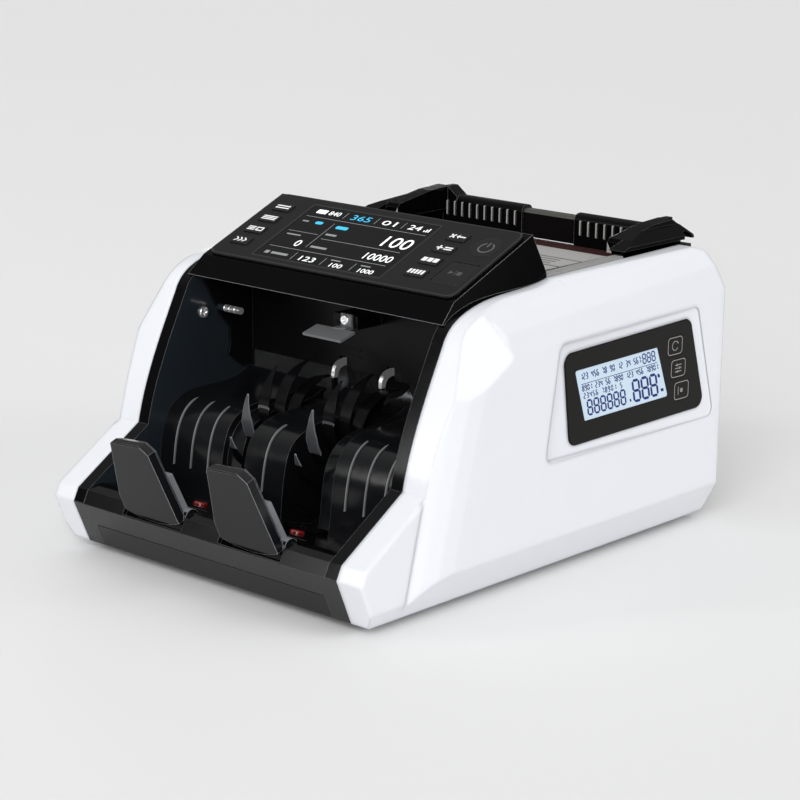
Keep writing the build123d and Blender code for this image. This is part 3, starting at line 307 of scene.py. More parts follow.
MATERIALS = {
    "white": dict(colour=(0.745, 0.76, 0.80), rough=0.30, coat=0.3, coat_rough=0.1, mottle=0.01,
                  patches=0.05, grain=(2600, 0.02), bevel=4.0),
    "black_satin": dict(colour=(0.011, 0.011, 0.012), rough=0.28, shine=0.45, mottle=0.15, patches=0.06,
                        grain=(2400, 0.06), bevel=0.35, edge=(0.4, 0.06)),
    "black_gloss": dict(colour=(0.0018, 0.0017, 0.0021), rough=0.12, shine=0.03, patches=0.04,
                        grain=(1800, 0.02), bevel=0.5, edge=(0.55, 0.35)),
    "tray": dict(colour=(0.0038, 0.0038, 0.0043), rough=0.2, shine=0.22, mottle=0.12, patches=0.06,
                 grain=(2400, 0.05), bevel=0.35, edge=(0.4, 0.12)),
    # glossier finish on the tray's upward faces, plus a darker colour and lower shine as painted shade for
    # the dark reflections in it
    "tray_top_gloss_and_shade": dict(colour=(0.0022, 0.0021, 0.0024), rough=0.12, shine=0.12, patches=0.05,
                     grain=(2000, 0.03), bevel=0.35, edge=(0.4, 0.08)),
    "inset": dict(colour=(0.007, 0.007, 0.0075), rough=0.2, shine=0.3, patches=0.05, grain=(2000, 0.04),
                  bevel=0.35, edge=(0.3, 0.08)),
    "liner": dict(colour=(0.014, 0.019, 0.024), rough=0.14, shine=0.3, patches=0.05,
                  grain=(1500, 0.02), bevel=0.5),
    "strip": dict(colour=(0.002, 0.002, 0.0025), rough=0.14, shine=0.1, patches=0.04, bevel=0.5,
                  edge=(0.45, 0.25)),
    "throat": dict(colour=(0.0035, 0.0035, 0.004), rough=0.25, shine=0.12, patches=0.05, grain=(1500, 0.03),
                   bevel=0.4, edge=(0.4, 0.03)),
    "cover": dict(colour=(0.0045, 0.0048, 0.0055), rough=0.16, shine=0.22, patches=0.05,
                  grain=(1700, 0.03), bevel=0.4, edge=(0.5, 0.10)),
    # painted highlight: the lighter, faintly glowing rib faces stand for the gloss lines along the cover
    # ribs
    "rib_highlight": dict(colour=(0.16, 0.165, 0.17), rough=0.3, glow=0.03, mottle=0.35, mottle_scale=90),
    "paddle": dict(colour=(0.0055, 0.0057, 0.0065), rough=0.15, shine=0.27, mottle=0.12, patches=0.07,
                   grain=(2300, 0.04), bevel=0.7, edge=(0.6, 0.42)),
    "paddle_block": dict(colour=(0.16, 0.165, 0.175), rough=0.2, shine=0.5, mottle=0.15, patches=0.07,
                         bevel=0.4),
    "guide": dict(colour=(0.0025, 0.0023, 0.0025), rough=0.2, shine=0.07, mottle=0.15, patches=0.07,
                  grain=(2300, 0.04), bevel=0.4, edge=(0.45, 0.2)),
    # painted shade: the note guides' outer wings get a darker, less shiny copy of the guide's black
    "wing_shade": dict(colour=(0.0012, 0.0011, 0.0013), rough=0.16, shine=0.03, patches=0.05, bevel=0.6,
                 edge=(0.4, 0.12)),
    # painted highlight: light, faintly glowing rib faces on the grips stand for the gloss lines on them
    "grip_rib_highlight": dict(colour=(0.34, 0.33, 0.32), rough=0.3, glow=0.05, mottle=0.3, mottle_scale=120),
    "rail": dict(colour=(0.0045, 0.0038, 0.0038), rough=0.22, shine=0.15, mottle=0.1, patches=0.07,
                 grain=(2300, 0.05), bevel=0.4),
    # painted reflection: the lighter brownish top faces of the guide rail stand for the softbox seen in its
    # gloss
    "rail_top_reflection": dict(colour=(0.05, 0.05, 0.044), rough=0.26, shine=0.5, mottle=0.1, patches=0.07,
                     grain=(2300, 0.05), edge=(0.5, 0.2)),
    "maroon": dict(colour=(0.035, 0.012, 0.011), rough=0.3, shine=0.4, mottle=0.1, patches=0.06),
    "mid_grey": dict(colour=(0.16, 0.165, 0.17), rough=0.4, mottle=0.05, patches=0.06,
                     grain=(2300, 0.1), bevel=0.25),
    "floor_insert": dict(colour=(0.375, 0.37, 0.365), rough=0.38, mottle=0.04, patches=0.05,
                         grain=(2300, 0.08), bevel=0.25),
    "strip_grey": dict(colour=(0.30, 0.30, 0.295), rough=0.32, mottle=0.04, patches=0.05,
                       grain=(2300, 0.08), bevel=0.25),
    "overlay": dict(colour=(0.0042, 0.0043, 0.0047), rough=0.42, shine=0.19, mottle=0.1, patches=0.05,
                    grain=(3200, 0.06), bevel=0.4, edge=(0.4, 0.09)),
    "border": dict(colour=(0.003, 0.003, 0.003), rough=0.12, shine=0.5, patches=0.03),
    "side_plate": dict(colour=(0.0045, 0.0037, 0.0033), rough=0.3, shine=0.15, patches=0.04, bevel=0.4),
    "glass": dict(colour=(0.0015, 0.0015, 0.002), rough=0.2, shine=0.1, patches=0.04),
    "lcd": dict(colour=(0.47, 0.57, 0.665), rough=0.4, shine=0.2, glow=0.23, mottle=0.015),
    "key": dict(colour=(0.003, 0.003, 0.0035), rough=0.3, shine=0.2, mottle=0.12, patches=0.06,
                grain=(2600, 0.06), bevel=0.4, edge=(0.4, 0.03)),
    "red_lens": dict(colour=(0.17, 0.006, 0.007), rough=0.1, coat=0.5, glow=0.04),
    "fin": dict(colour=(0.003, 0.003, 0.0035), rough=0.2, shine=0.1, mottle=0.1, patches=0.05, bevel=0.3),
    "lit_fin": dict(colour=(0.055, 0.056, 0.062), rough=0.22, shine=0.45, mottle=0.35, mottle_scale=60,
                    edge=(0.5, 0.35)),
    "steel": dict(colour=(0.50, 0.50, 0.51), rough=0.28, metal=1, mottle=0.05, patches=0.08),
    "rubber": dict(colour=(0.02, 0.02, 0.022), rough=0.75, mottle=0.15, grain=(1600, 0.3)),
    "belt": dict(colour=(0.012, 0.012, 0.012), rough=0.8, mottle=0.15, grain=(1400, 0.3)),
    "sheet": dict(colour=(0.42, 0.43, 0.45), rough=0.4, metal=1, mottle=0.08, patches=0.12),
    # bright metal for the screws, the liner's stub pins and the deflector fingers; its glow is a painted
    # glint
    "bright": dict(colour=(0.85, 0.85, 0.86), rough=0.22, metal=1, glow=0.08, patches=0.06),
    "brass": dict(colour=(0.55, 0.38, 0.14), rough=0.35, metal=1, mottle=0.1, patches=0.1),
    "board": dict(colour=(0.02, 0.11, 0.045), rough=0.4, coat=0.4, mottle=0.2),
    "tape": dict(colour=(0.42, 0.34, 0.05), rough=0.5, mottle=0.1),
    # white print on the keys; its glow is painted light on top of the print's colour
    "mark": dict(colour=(0.74, 0.74, 0.75), rough=0.5, glow=0.25, mottle=0.02),
    "grey_mark": dict(colour=(0.10, 0.10, 0.105), rough=0.5, mottle=0.03),
    "dim_mark": dict(colour=(0.055, 0.055, 0.057), rough=0.5, mottle=0.03),
    "key_line": dict(colour=(0.26, 0.25, 0.24), rough=0.5, mottle=0.03),
    "lit_white": dict(colour=(0.85, 0.86, 0.87), rough=0.4, glow=0.65, mottle=0.01),
    "lit_dim": dict(colour=(0.22, 0.225, 0.23), rough=0.4, glow=0.35, mottle=0.01),
    "lit_cyan": dict(colour=(0.03, 0.38, 0.62), rough=0.4, glow=0.7, mottle=0.02),
    "ink": dict(colour=(0.010, 0.018, 0.15), rough=0.4, shine=0.2, mottle=0.05),
}
PANEL_KEYS = [f"{side}_key_{row}" for side in ("left", "right") for row in range(1, 5)]
NODE_LOOKS = {
    "white": ["left_side_shell", "right_side_shell"],
    "black_gloss": ["control_housing", "power_inlet", "power_switch"],
    "inset": ["front_inset_plate"],
    "black_satin": ["front_panel", "base_pan", "rear_cover", "rear_panel", "hopper_body"],
    "tray": ["stacker_tray"],
    "liner": ["throat_liners"],
    "throat": ["throat_back"],
    "cover": ["stacker_covers"],
    "paddle": ["left_paddle", "right_paddle"],
    "guide": ["left_note_guide", "right_note_guide", "gap_knob"],
    "rail": ["guide_rail"],
    "mid_grey": ["sensor_bracket"],
    "floor_insert": ["floor_insert"],
    "strip_grey": ["hopper_side_strips"],
    "overlay": ["panel_overlay"],
    "side_plate": ["side_display_plate", "side_key_1", "side_key_2", "side_key_3"],
    "glass": ["main_display"],
    "lcd": ["side_lcd"],
    "key": ["power_key", "start_key", *PANEL_KEYS],
    "red_lens": ["tray_sensor_lenses"],
    "fin": ["impeller_wheels"],
    "steel": ["impeller_shaft", "feed_shaft", "pickup_shaft", "paddle_pins", "main_motor_pulley",
              "main_motor"],
    "rubber": ["feed_rollers", "pickup_rollers", "retard_rollers", "feet"],
    "belt": ["drive_belts"],
    "sheet": ["chassis_plates"],
    # the bright metal carries a painted glint (its glow)
    "bright": ["deflector_fingers", "screws"],
    "brass": ["bushings"],
    "board": ["main_board"],
    "tape": ["power_supply"],
}
LOOK = {name: plastic(name, **facts) for name, facts in MATERIALS.items()}


def dress_nodes():
    """One finish for each whole CAD node."""
    for look, names in NODE_LOOKS.items():
        for name in names:
            mesh = NODES[name].data
            mesh.materials.clear()
            mesh.materials.append(LOOK[look])


# Where each second finish starts and ends: x from the middle, y and z as in the drawing.
SIDEWAYS = 0.9                   # a face whose normal's X is larger looks in or out
UPWARDS = 0.6                    # a face whose normal's Z is larger looks up
ANY_WAY = -2.0                   # every face's normal has a larger Z
LINER_STRIP_X = CAVITY + 2.4     # the liner's outer strip lies beyond
LINER_STUB_X = CAVITY - 0.4      # the bright stubs stand further in
RIB_HALF = 0.55                  # half a rib's thickness
FIN_INNER = 33                   # radius from which the fins catch the light
FIN_TURN = (128, 172)            # degrees round the impeller shaft, from the rear
BLOCK_REACH = 24                 # across, from the paddle's middle
BLOCK_FOOT = 40                  # z
FLOOR_FRONT = 175                # y
FLOOR_SLACK = 0.3                # a point this close to the hopper floor's plane lies on it
GROOVE_Y = (252, 264)            # groove across the hopper floor's insert, painted dark as shade
GROOVE_DROP = 0.2                # its faces lie further below the floor than this
RAIL_TOP = 166.5                 # z above which the guide rail's faces get the painted reflection
FINGER_ROOT = 94                 # z below which the deflector fingers are painted dark as shade; above it their bright glowing metal stands for the highlight on their noses
WING_X = 79                      # the note guides' outer wings, painted darker as shade, lie beyond
GRIP_REAR = 277.6                # y
GRIP_Z = (158, 168)
GRIP_X = (24, 87)


def tint(node, look, chosen, rise=ANY_WAY):
    """Another finish for the faces whose every corner passes chosen(x, y, z), in drawing millimetres.

    Faces whose normal rises less than the given amount are left out."""
    mesh = NODES[node].data
    mesh.materials.append(LOOK[look])
    spot = len(mesh.materials) - 1
    fits = [chosen(v.co.x * 1000, v.co.y * 1000 + DEPTH_CENTRE, v.co.z * 1000) for v in mesh.vertices]
    for polygon in mesh.polygons:
        if polygon.normal.z > rise and all(fits[i] for i in polygon.vertices):
            polygon.material_index = spot


def tint_rims(node, look):
    """Another finish for the faces that don't look inwards or outwards, such as a wall's front rim."""
    mesh = NODES[node].data
    mesh.materials.append(LOOK[look])
    spot = len(mesh.materials) - 1
    for polygon in mesh.polygons:
        if abs(polygon.normal.x) < SIDEWAYS and abs(polygon.center.x) > mm(CAVITY):
            polygon.material_index = spot


def between(value, limits):
    return limits[0] < value < limits[1]


def on_rib(x, y, z):
    return min(abs(abs(x) - rib) for rib in RIBS) < RIB_HALF


def on_lit_fin(x, y, z):
    across = y - STACK_AXIS[0]
    rise = z - STACK_AXIS[1]
    turn = math.degrees(math.atan2(rise, across))
    return math.hypot(across, rise) > FIN_INNER and between(turn, FIN_TURN)


def on_paddle_block(x, y, z):
    """The block on the paddle's rear face."""
    across = y - PADDLE_FOOT[0]
    rise = z - PADDLE_FOOT[1]
    behind = across * math.cos(PADDLE_LEAN) + rise * math.sin(PADDLE_LEAN)
    return behind > PADDLE_THICK - 0.1 and abs(x) > PADDLE_X - BLOCK_REACH and z > BLOCK_FOOT


def above_floor(y, z):
    """Height of a point above the hopper's sloping floor."""
    return z - FLOOR_REAR[1] + math.tan(FLOOR_SLOPE) * (FLOOR_REAR[0] - y)


def on_hopper_floor(x, y, z):
    return abs(x) < CAVITY + 0.5 and y > FLOOR_FRONT and abs(above_floor(y, z)) < FLOOR_SLACK


def in_groove(x, y, z):
    return above_floor(y, z) < -GROOVE_DROP and between(y, GROOVE_Y)


def on_grip_rib(x, y, z):
    return y < GRIP_REAR and between(z, GRIP_Z) and between(abs(x), GRIP_X)


def tint_nodes():
    """Second finishes for parts of CAD nodes: real colours such as the liners' black strips, the grey hopper
    floor and the paddles' grey blocks, and painted highlights, painted reflections and painted shade on the
    cover ribs, fins, fingers, grips, rail, tray top, guide wings and floor grooves.
    """
    tint("throat_liners", "strip", lambda x, y, z: abs(x) > LINER_STRIP_X)
    tint_rims("throat_liners", "strip")
    tint("throat_liners", "bright", lambda x, y, z: abs(x) < LINER_STUB_X)
    # painted highlights on the cover ribs
    tint("stacker_covers", "rib_highlight", on_rib)
    tint("impeller_wheels", "lit_fin", on_lit_fin)
    tint("left_paddle", "paddle_block", on_paddle_block)
    tint("right_paddle", "paddle_block", on_paddle_block)
    tint("hopper_body", "floor_insert", on_hopper_floor)
    # painted shade: the grooves across the floor insert get the dark throat colour
    tint("floor_insert", "throat", in_groove)
    # upward faces: glossier, and painted darker
    tint("stacker_tray", "tray_top_gloss_and_shade", lambda x, y, z: True, UPWARDS)
    # painted reflection on the rail's top faces
    tint("guide_rail", "rail_top_reflection", lambda x, y, z: z > RAIL_TOP)
    # painted shade on the fingers' lower part, so only the top keeps the painted highlight
    tint("deflector_fingers", "fin", lambda x, y, z: z < FINGER_ROOT)
    for node in ("left_note_guide", "right_note_guide"):
        # painted shade on the outer wings
        tint(node, "wing_shade", lambda x, y, z: abs(x) > WING_X)
        # painted highlights on the grips' ribs
        tint(node, "grip_rib_highlight", on_grip_rib)


# ---- thin raised marks ----------------------------------------------------------------------
class Surface:
    """A plane on the object: place(a, b, h) gives the point a across, b up and h out of it."""

    def __init__(self, origin, across, up):
        self.origin = origin
        self.across = Vector(across)
        self.up = Vector(up)
        self.out = self.across.cross(self.up)

    def place(self, a, b, h):
        return self.origin + (self.across * a + self.up * b + self.out * h) / 1000


DISPLAY_ALONG = Vector((math.sin(DISPLAY_TILT), math.cos(DISPLAY_TILT), 0))
DISPLAY_ORIGIN = mm(SIDE_OUT, DISPLAY_PIVOT_Y, 0) - DISPLAY_ALONG * mm(DISPLAY_PIVOT_Y)
PANEL = Surface(mm(0, *PANEL_FRONT), (1, 0, 0), (0, math.cos(PANEL_SLOPE), math.sin(PANEL_SLOPE)))
SIDE = Surface(DISPLAY_ORIGIN, DISPLAY_ALONG, (0, 0, 1))
HOPPER = Surface(mm(0, *FLOOR_REAR), (1, 0, 0), (0, math.cos(FLOOR_SLOPE), math.sin(FLOOR_SLOPE)))
MARK_RISE = 0.05                 # marks stand this far out of their surface
MARK_SINK = 0.03                 # and reach this far into it
NUMBER_DEPTH = 0.01              # any depth does, as number() sets each vertex's height
NUMBER_STEPS = 3                 # along each curve of a printed number


def new_object(name, mesh, look, body):
    """Flat-shaded piece that rides on a body."""
    for polygon in mesh.polygons:
        polygon.use_smooth = False
    mesh.materials.append(LOOK[look])
    piece = bpy.data.objects.new(name, mesh)
    bpy.context.scene.collection.objects.link(piece)
    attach(piece, body)


def slab(bm, outline, surface, bottom, top):
    """Closed prism over one flat outline."""
    lower = [bm.verts.new(surface.place(a, b, bottom)) for a, b in outline]
    upper = [bm.verts.new(surface.place(a, b, top)) for a, b in outline]
    bm.faces.new(list(reversed(lower)))
    bm.faces.new(upper)
    count = len(outline)
    for i in range(count):
        j = (i + 1) % count
        bm.faces.new((lower[i], lower[j], upper[j], upper[i]))


def band(bm, outer, inner, surface, bottom, top):
    """Closed ring between two outlines with as many points each."""
    rings = [[bm.verts.new(surface.place(a, b, h)) for a, b in line]
             for line, h in ((outer, bottom), (outer, top), (inner, top), (inner, bottom))]
    count = len(outer)
    for i in range(count):
        j = (i + 1) % count
        for first, second in zip(rings, rings[1:] + rings[:1]):
            bm.faces.new((first[i], first[j], second[j], second[i]))


def rounded(a, b, width, height, radius, steps=5):
    """Outline of a rounded rectangle, anticlockwise."""
    points = []
    for quarter, (sa, sb) in enumerate(((1, 1), (-1, 1), (-1, -1), (1, -1))):
        ca = a + sa * (width / 2 - radius)
        cb = b + sb * (height / 2 - radius)
        for i in range(steps + 1):
            angle = math.radians(90 * quarter + 90 * i / steps)
            points.append((ca + radius * math.cos(angle), cb + radius * math.sin(angle)))
    return points


def arc_strip(a, b, radius, width, start, end, steps=28):
    """Outline of a thick arc; angles in degrees."""
    angles = [math.radians(start + (end - start) * i / steps) for i in range(steps + 1)]
    outer, inner = [[(a + reach * math.cos(angle), b + reach * math.sin(angle)) for angle in angles]
                    for reach in (radius + width / 2, radius - width / 2)]
    return outer + inner[::-1]


def stroke(start, end, width):
    """Outline of a straight bar from start to end."""
    (a0, b0), (a1, b1) = start, end
    length = math.hypot(a1 - a0, b1 - b0)
    na = -(b1 - b0) / length * width / 2
    nb = (a1 - a0) / length * width / 2
    return [(a0 - na, b0 - nb), (a1 - na, b1 - nb), (a1 + na, b1 + nb), (a0 + na, b0 + nb)]


def marks(name, outlines, surface, height, look, body=HOUSING, rings=()):
    """One piece made of flat raised marks and rings; height is the surface they lie on."""
    bm = bmesh.new()
    for outline in outlines:
        slab(bm, outline, surface, height - MARK_SINK, height + MARK_RISE)
    for outer, inner in rings:
        band(bm, outer, inner, surface, height - MARK_SINK, height + MARK_RISE)
    bmesh.ops.recalc_face_normals(bm, faces=bm.faces)
    mesh = bpy.data.meshes.new(name)
    bm.to_mesh(mesh)
    bm.free()
    new_object(name, mesh, look, body)


def number(name, text, surface, box, height, look):
    """Figures on a display, stretched to fill a box of (low a, low b, high a, high b)."""
    curve = bpy.data.curves.new(name + "_curve", "FONT")
    curve.body = text
    curve.extrude = NUMBER_DEPTH
    curve.resolution_u = NUMBER_STEPS
    source = bpy.data.objects.new(name + "_source", curve)
    bpy.context.scene.collection.objects.link(source)
    bpy.context.view_layer.update()
    drawn = source.evaluated_get(bpy.context.evaluated_depsgraph_get())
    mesh = bpy.data.meshes.new_from_object(drawn)
    bpy.data.objects.remove(source)
    low_a, low_b, high_a, high_b = box
    xs = [vertex.co.x for vertex in mesh.vertices]
    ys = [vertex.co.y for vertex in mesh.vertices]
    wide = (high_a - low_a) / (max(xs) - min(xs))
    tall = (high_b - low_b) / (max(ys) - min(ys))
    for vertex in mesh.vertices:
        a = low_a + (vertex.co.x - min(xs)) * wide
        b = low_b + (vertex.co.y - min(ys)) * tall
        rise = MARK_RISE if vertex.co.z > 0 else -MARK_SINK
        vertex.co = surface.place(a, b, height + rise)
    mesh.name = name
    mesh.materials.clear()
    new_object(name, mesh, look, HOUSING)


# ---- seven-segment figures ------------------------------------------------------------------
# Segments a to g of each figure, and each segment's ends on a grid one wide and two tall.
SEGMENTS = {"0": "abcdef", "1": "bc", "2": "abged", "3": "abgcd", "4": "fgbc", "5": "afgcd",
            "6": "afgedc", "7": "abc", "8": "abcdefg", "9": "abcdfg"}
SEGMENT_ENDS = {"a": ((0, 2), (1, 2)), "b": ((1, 2), (1, 1)), "c": ((1, 1), (1, 0)), "d": ((0, 0), (1, 0)),
                "e": ((0, 0), (0, 1)), "f": ((0, 1), (0, 2)), "g": ((0, 1), (1, 1))}
FIGURE_SLANT = 0.12
SEGMENT_GAP = 0.12               # at each end of a bar, as a share of its weight


def figures(text, a, b, width, height, pitch, weight):
    """Outlines of seven-segment figures with pointed bars; other characters leave a gap."""
    outlines = []
    for i, figure in enumerate(text):
        for segment in SEGMENTS.get(figure, ()):
            ends = [(a + i * pitch + x * width + y * height / 2 * FIGURE_SLANT, b + y * height / 2)
                    for x, y in SEGMENT_ENDS[segment]]
            outlines.append(pointed(*ends, weight))
    return outlines


def pointed(start, end, weight):
    """Outline of a bar from start to end, pointed at both ends."""
    begin = Vector(start)
    along = (Vector(end) - begin).normalized()
    across = Vector((along.y, -along.x)) * weight / 2
    near = begin + along * weight * SEGMENT_GAP
    far = Vector(end) - along * weight * SEGMENT_GAP
    taper = along * weight / 2
    points = [near, near + taper + across, far - taper + across,
              far, far - taper - across, near + taper - across]
    return [tuple(point) for point in points]


# ---- control panel --------------------------------------------------------------------------
# Places are (across from the middle, up the slope from the front edge).
KEY_COLUMNS = {"left": -77.7, "right": 54.6}
KEY_ROWS = [52.6, 40.4, 28.2, 16.0]
POWER_AT = (77.9, 47.7)
START_AT = (77.0, 21.6)
# Heights of the caps and the glass above the panel's plane.
KEY_TOP = 0.7
POWER_TOP = 0.1
START_TOP = -0.1
SCREEN_TOP = -0.15


def bars(a, b, lengths, pitch, width):
    """Short level strokes stacked round (a, b)."""
    first = b + pitch * (len(lengths) - 1) / 2
    return [stroke((a - length / 2, first - i * pitch), (a + length / 2, first - i * pitch), width)
            for i, length in enumerate(lengths)]


def chevron(a, b, size, width):
    """Thick arrowhead that points right; size is half its height."""
    return [(a, b + size), (a + width, b + size), (a + width + size, b), (a + width, b - size),
            (a, b - size), (a + size, b)]


def arrow(a, b, length, width, head, facing=1):
    """Solid arrow with its tail at (a, b); facing is -1 for one that points the other way."""
    tip = a + facing * length
    neck = tip - facing * head
    return [(a, b - width / 2), (neck, b - width / 2), (neck, b - head), (tip, b), (neck, b + head),
            (neck, b + width / 2), (a, b + width / 2)]


def cross(a, b, size, width, turn=0):
    """Two strokes that cross at (a, b), turned by so many degrees."""
    strokes = []
    for angle in (math.radians(turn), math.radians(turn + 90)):
        da = size * math.cos(angle)
        db = size * math.sin(angle)
        strokes.append(stroke((a - da, b - db), (a + da, b + db), width))
    return strokes


def key_icons(a, b):
    """Plain marks for the eight panel keys, left column first, from the rear to the front."""
    there_and_back = [arrow(a - 5.2, b + 1.05, 10.4, 0.95, 1.1),
                      arrow(a + 5.2, b - 1.05, 10.4, 0.95, 1.1, -1)]
    lines = bars(a, b, [10.8] * 3, 1.5, 0.9)
    short_lines = bars(a - 3.0, b, [5.6] * 3, 1.45, 0.85)
    page = (rounded(a + 3.4, b, 5.2, 3.8, 0.5), rounded(a + 3.4, b, 3.4, 2.0, 0.3))
    chevrons = [chevron(a - 5.2 + 3.1 * i, b, 1.9, 1.2) for i in range(3)]
    clear = [arrow(a + 5.4, b, 6.2, 1.0, 1.8, -1)] + cross(a - 3.4, b, 2.2, 1.0, 45)
    sum_up = cross(a - 3.2, b, 2.1, 1.05) + bars(a + 2.8, b, [5.6] * 2, 1.8, 1.0)
    blocks = [rounded(a - 4.0 + 4.0 * i, b, 3.2, 3.6, 0.4) for i in range(3)]
    posts = [rounded(a - 4.6 + 2.3 * i, b, 1.5, 3.8, 0.2) for i in range(5)]
    return [(there_and_back, []), (lines, []), (short_lines, [page]), (chevrons, []),
            (clear, []), (sum_up, []), (blocks, []), (posts, [])]


def dress_keys():
    """A printed mark on each key of the panel."""
    for column, (side, a) in enumerate(KEY_COLUMNS.items()):
        for row, b in enumerate(KEY_ROWS):
            solid, rings = key_icons(a, b)[column * len(KEY_ROWS) + row]
            node = f"{side}_key_{row + 1}"
            marks(f"{node}_mark", solid, PANEL, KEY_TOP, "mark", node + "_body", rings)
    a, b = POWER_AT
    symbol = [arc_strip(a, b, 4.4, 0.95, 118, 422), rounded(a, b + 2.9, 0.95, 4.4, 0.4)]
    marks("power_symbol", symbol, PANEL, POWER_TOP, "grey_mark", "power_key_body")
    a, b = START_AT
    play = [(a - 4.2, b - 1.7), (a - 1.0, b), (a - 4.2, b + 1.7)]
    pause = [rounded(a + 2.8, b, 3.2, 3.2, 0.3), stroke((a, b - 2.4), (a, b + 2.4), 0.4)]
    marks("start_symbol", [play, *pause], PANEL, START_TOP, "dim_mark", "start_key_body")


# name: middle, width and length, line width, outer and inner corner radius, steps round a corner
BORDERS = {
    "overlay_border": ((0, PANEL_LENGTH / 2), (182.1, PANEL_LENGTH - 1.9), 0.85, (5.6, 4.8), 10),
    "screen_border": ((-11.75, 33), (97.6, 56.1), 0.9, (0.8, 0.4), 4),
}


def dress_overlay():
    """Gloss lines round the overlay's edge and round the screen."""
    for name, ((a, b), (width, length), line, (outer_radius, inner_radius), steps) in BORDERS.items():
        outer = rounded(a, b, width, length, outer_radius, steps)
        inner = rounded(a, b, width - 2 * line, length - 2 * line, inner_radius, steps)
        marks(name, [], PANEL, 0, "border", rings=[(outer, inner)])


RULES = [((-56.5, 49.4), (33.5, 49.4)), ((-56.2, 33.5), (-33.6, 33.5)), ((-28.5, 30.4), (30.5, 30.4)),
         ((-56.2, 16.8), (31.5, 16.8)), ((-31.6, 46.2), (-31.6, 20.4))]
RULE_WIDTH = 0.32
# Upright lines in the screen's top and bottom rows: where they stand and what they span.
POSTS = [((-31.0, -7.1, 13.0), (52.2, 58.2)), ((-32.0, -9.6, 12.6), (7.2, 14.2))]
POST_WIDTH = 0.35
# name: figures, then their box as (left, front, right, rear)
WHITE_NUMBERS = {
    "total": ("10000", (11.4, 19.7, 31.2, 25.8)),
    "count": ("100", (12.6, 33.6, 32.3, 43.6)),
    "rejects": ("0", (-41.4, 19.7, -37.4, 25.8)),
    "channel": ("840", (-43.4, 53.3, -34.9, 57.3)),
    "speed": ("1000", (18.3, 7.2, 28.9, 10.9)),
    "batch": ("100", (-2.9, 7.2, 5.8, 10.9)),
    "stage": ("123", (-26.6, 7.9, -15.4, 12.3)),
    "mode": ("01", (-2.6, 52.7, 7.6, 57.2)),
    "level": ("24", (17.2, 52.7, 26.2, 57.2)),
}
PAGE_BOX = (-25.8, 52.4, -11.6, 57.4)
# Blocks on the screen: middle, width, height, corner radius.
PILLS = [(-23.6, 43.2, 8.8, 2.9, 1.0), (-42.2, 44.4, 5.6, 2.7, 1.3)]
CASSETTE = (-49.2, 55.3, 7.4, 3.8, 0.5)
CORNER_BLOCK = (-52.4, 10.4, 3.2, 2.8, 0.4)
SIGNAL_AT = (29.2, 53.4)
# Bars that stand for labels: middle, length, width.
LABELS = [(-52.6, 44.3, 4.6, 1.2), (-49.2, 30.0, 10.6, 1.1), (-25.0, 35.2, 8.0, 1.7),
          (-23.0, 22.0, 12.0, 1.8), (-42.8, 10.4, 12.6, 2.0), (-2.2, 13.4, 7.0, 0.9), (20.0, 13.4, 7.0, 0.9)]


def dress_screen():
    """A made-up counting page: plain numbers, lines and icons."""
    lines = [stroke(start, end, RULE_WIDTH) for start, end in RULES]
    lines += [stroke((a, low), (a, high), POST_WIDTH) for places, (low, high) in POSTS for a in places]
    marks("screen_lines", lines, PANEL, SCREEN_TOP, "lit_dim")
    for name, (text, box) in WHITE_NUMBERS.items():
        number(f"screen_{name}", text, PANEL, box, SCREEN_TOP, "lit_white")
    number("screen_page", "365", PANEL, PAGE_BOX, SCREEN_TOP, "lit_cyan")
    pills = [rounded(*pill) for pill in PILLS]
    marks("screen_pills", pills, PANEL, SCREEN_TOP, "lit_cyan")
    a, b = SIGNAL_AT
    icons = [rounded(a + 1.5 * i, b + 0.55 * i, 0.8, 1.4 + 1.1 * i, 0.1) for i in range(3)]
    icons += [rounded(*CASSETTE)]
    marks("screen_icons", icons, PANEL, SCREEN_TOP, "lit_white")
    labels = [stroke((a - length / 2, b), (a + length / 2, b), width) for a, b, length, width in LABELS]
    labels += [rounded(*CORNER_BLOCK)]
    marks("screen_labels", labels, PANEL, SCREEN_TOP, "lit_dim")


# ---- side display ---------------------------------------------------------------------------
# The window's corners as (y, z): front top, rear top, rear bottom, front bottom.
LCD_CORNERS = [(152.9, 113.2), (225.1, 114.8), (236.6, 85.0), (162.6, 84.0)]
LCD_WIDTH = 72.0
LCD_HEIGHT = 30.0
LCD_TOP = -0.35                  # the LCD's face lies below the display plate's
# Rows of figures: text, place across and up, figure width and height, pitch, line weight.
LCD_ROWS = [
    ("888888", 4.2, 2.8, 3.7, 8.4, 5.65, 1.2),
    ("888", 43.6, 2.6, 5.3, 12.2, 7.7, 1.6),
    ("888", 57.4, 23.0, 2.7, 5.4, 4.1, 0.8),
    ("123 456 78 90 12 34 567", 3.6, 24.0, 1.3, 3.5, 2.3, 0.75),
    ("8901 234 56 7890 123 456 78901", 3.2, 17.3, 1.25, 3.2, 2.22, 0.72),
    ("23456 78901 5", 3.2, 12.9, 1.25, 3.0, 2.6, 0.72),
]
# Small blocks beside the figures: middle, width, height, corner radius.
LCD_BLOCKS = [(68.2, 13.4, 2.0, 2.4, 0.8), (68.6, 4.6, 2.4, 1.8, 0.3), (40.4, 4.0, 1.2, 1.6, 0.2)]
LCD_RULE = ((3.2, 21.4), (69.4, 21.4), 0.35)
SIDE_KEYS = [(241.5, 113.2), (245.2, 99.8), (249.0, 86.4)]    # (y, z) of their middles
# Printed ring on each side key: width, height and corner radius, outside and inside.
KEY_RING = [(13.4, 10.3, 2.2), (12.4, 9.3, 1.8)]


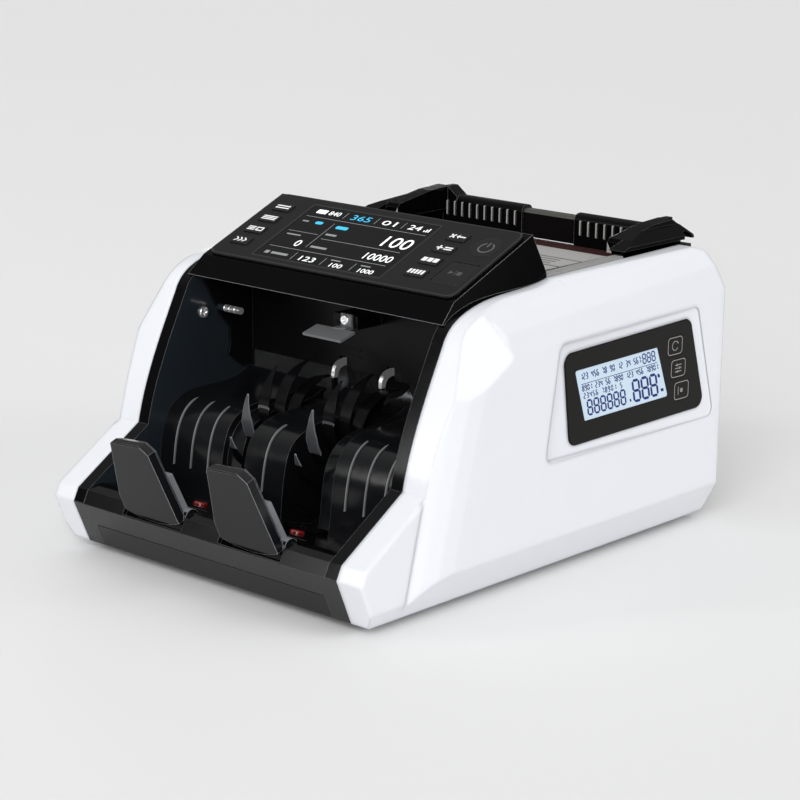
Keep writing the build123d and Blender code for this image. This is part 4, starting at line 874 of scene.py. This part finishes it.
class Window:
    """The leaning four-sided LCD as a surface: a and b follow its own edges, rearwards and up."""

    def place(self, a, b, h):
        s = a / LCD_WIDTH
        t = b / LCD_HEIGHT
        shares = [(1 - s) * t, s * t, s * (1 - t), (1 - s) * (1 - t)]
        y = sum(share * corner[0] for share, corner in zip(shares, LCD_CORNERS))
        z = sum(share * corner[1] for share, corner in zip(shares, LCD_CORNERS))
        return SIDE.place(y, z, h)


def side_key_icons(a, b):
    """Plain marks for the three side keys, from the top down."""
    knobs = [rounded(a + da, b + db, 1.0, 1.4, 0.2) for da, db in ((-1.2, 1.9), (1.3, 0), (-0.6, -1.9))]
    turn_back = [arc_strip(a, b, 2.6, 0.5, 40, 330), arrow(a + 2.3, b + 1.6, 0.8, 0.3, 0.9)]
    sliders = bars(a, b, [6.0] * 3, 1.9, 0.5) + knobs
    back_to_start = [rounded(a, b, 2.2, 2.2, 0.3), stroke((a - 3, b - 2.4), (a - 3, b + 2.4), 0.5)]
    return [turn_back, sliders, back_to_start]


def dress_side_display():
    """Made-up rows of figures on the LCD, and a ring and an icon on each side key."""
    ink = [outline for row in LCD_ROWS for outline in figures(*row)]
    ink += [rounded(*block) for block in LCD_BLOCKS]
    ink += [stroke(*LCD_RULE)]
    marks("lcd_figures", ink, Window(), LCD_TOP, "ink")
    for i, (y, z) in enumerate(SIDE_KEYS):
        node = f"side_key_{i + 1}"
        ring = [rounded(y, z, *size) for size in KEY_RING]
        icon = side_key_icons(y, z)[i]
        marks(f"{node}_mark", icon, SIDE, 0, "key_line", node + "_body", [ring])


# ---- hopper ---------------------------------------------------------------------------------
PAD_SIZE = (180, 5.6)
PAD_RADIUS = 0.6
PAD_PLACE = -5.8                 # up the slope from the floor's rear edge
PAD_TOP = 0.1


def dress_hopper():
    """Dark pad across the rear end of the hopper floor."""
    pad = rounded(0, PAD_PLACE, *PAD_SIZE, PAD_RADIUS)
    marks("rear_pad", [pad], HOPPER, PAD_TOP, "maroon")


dress_nodes()
tint_nodes()
add_camera()
add_floor()
add_lights()
set_view()
dress_keys()
dress_overlay()
dress_screen()
dress_side_display()
dress_hopper()
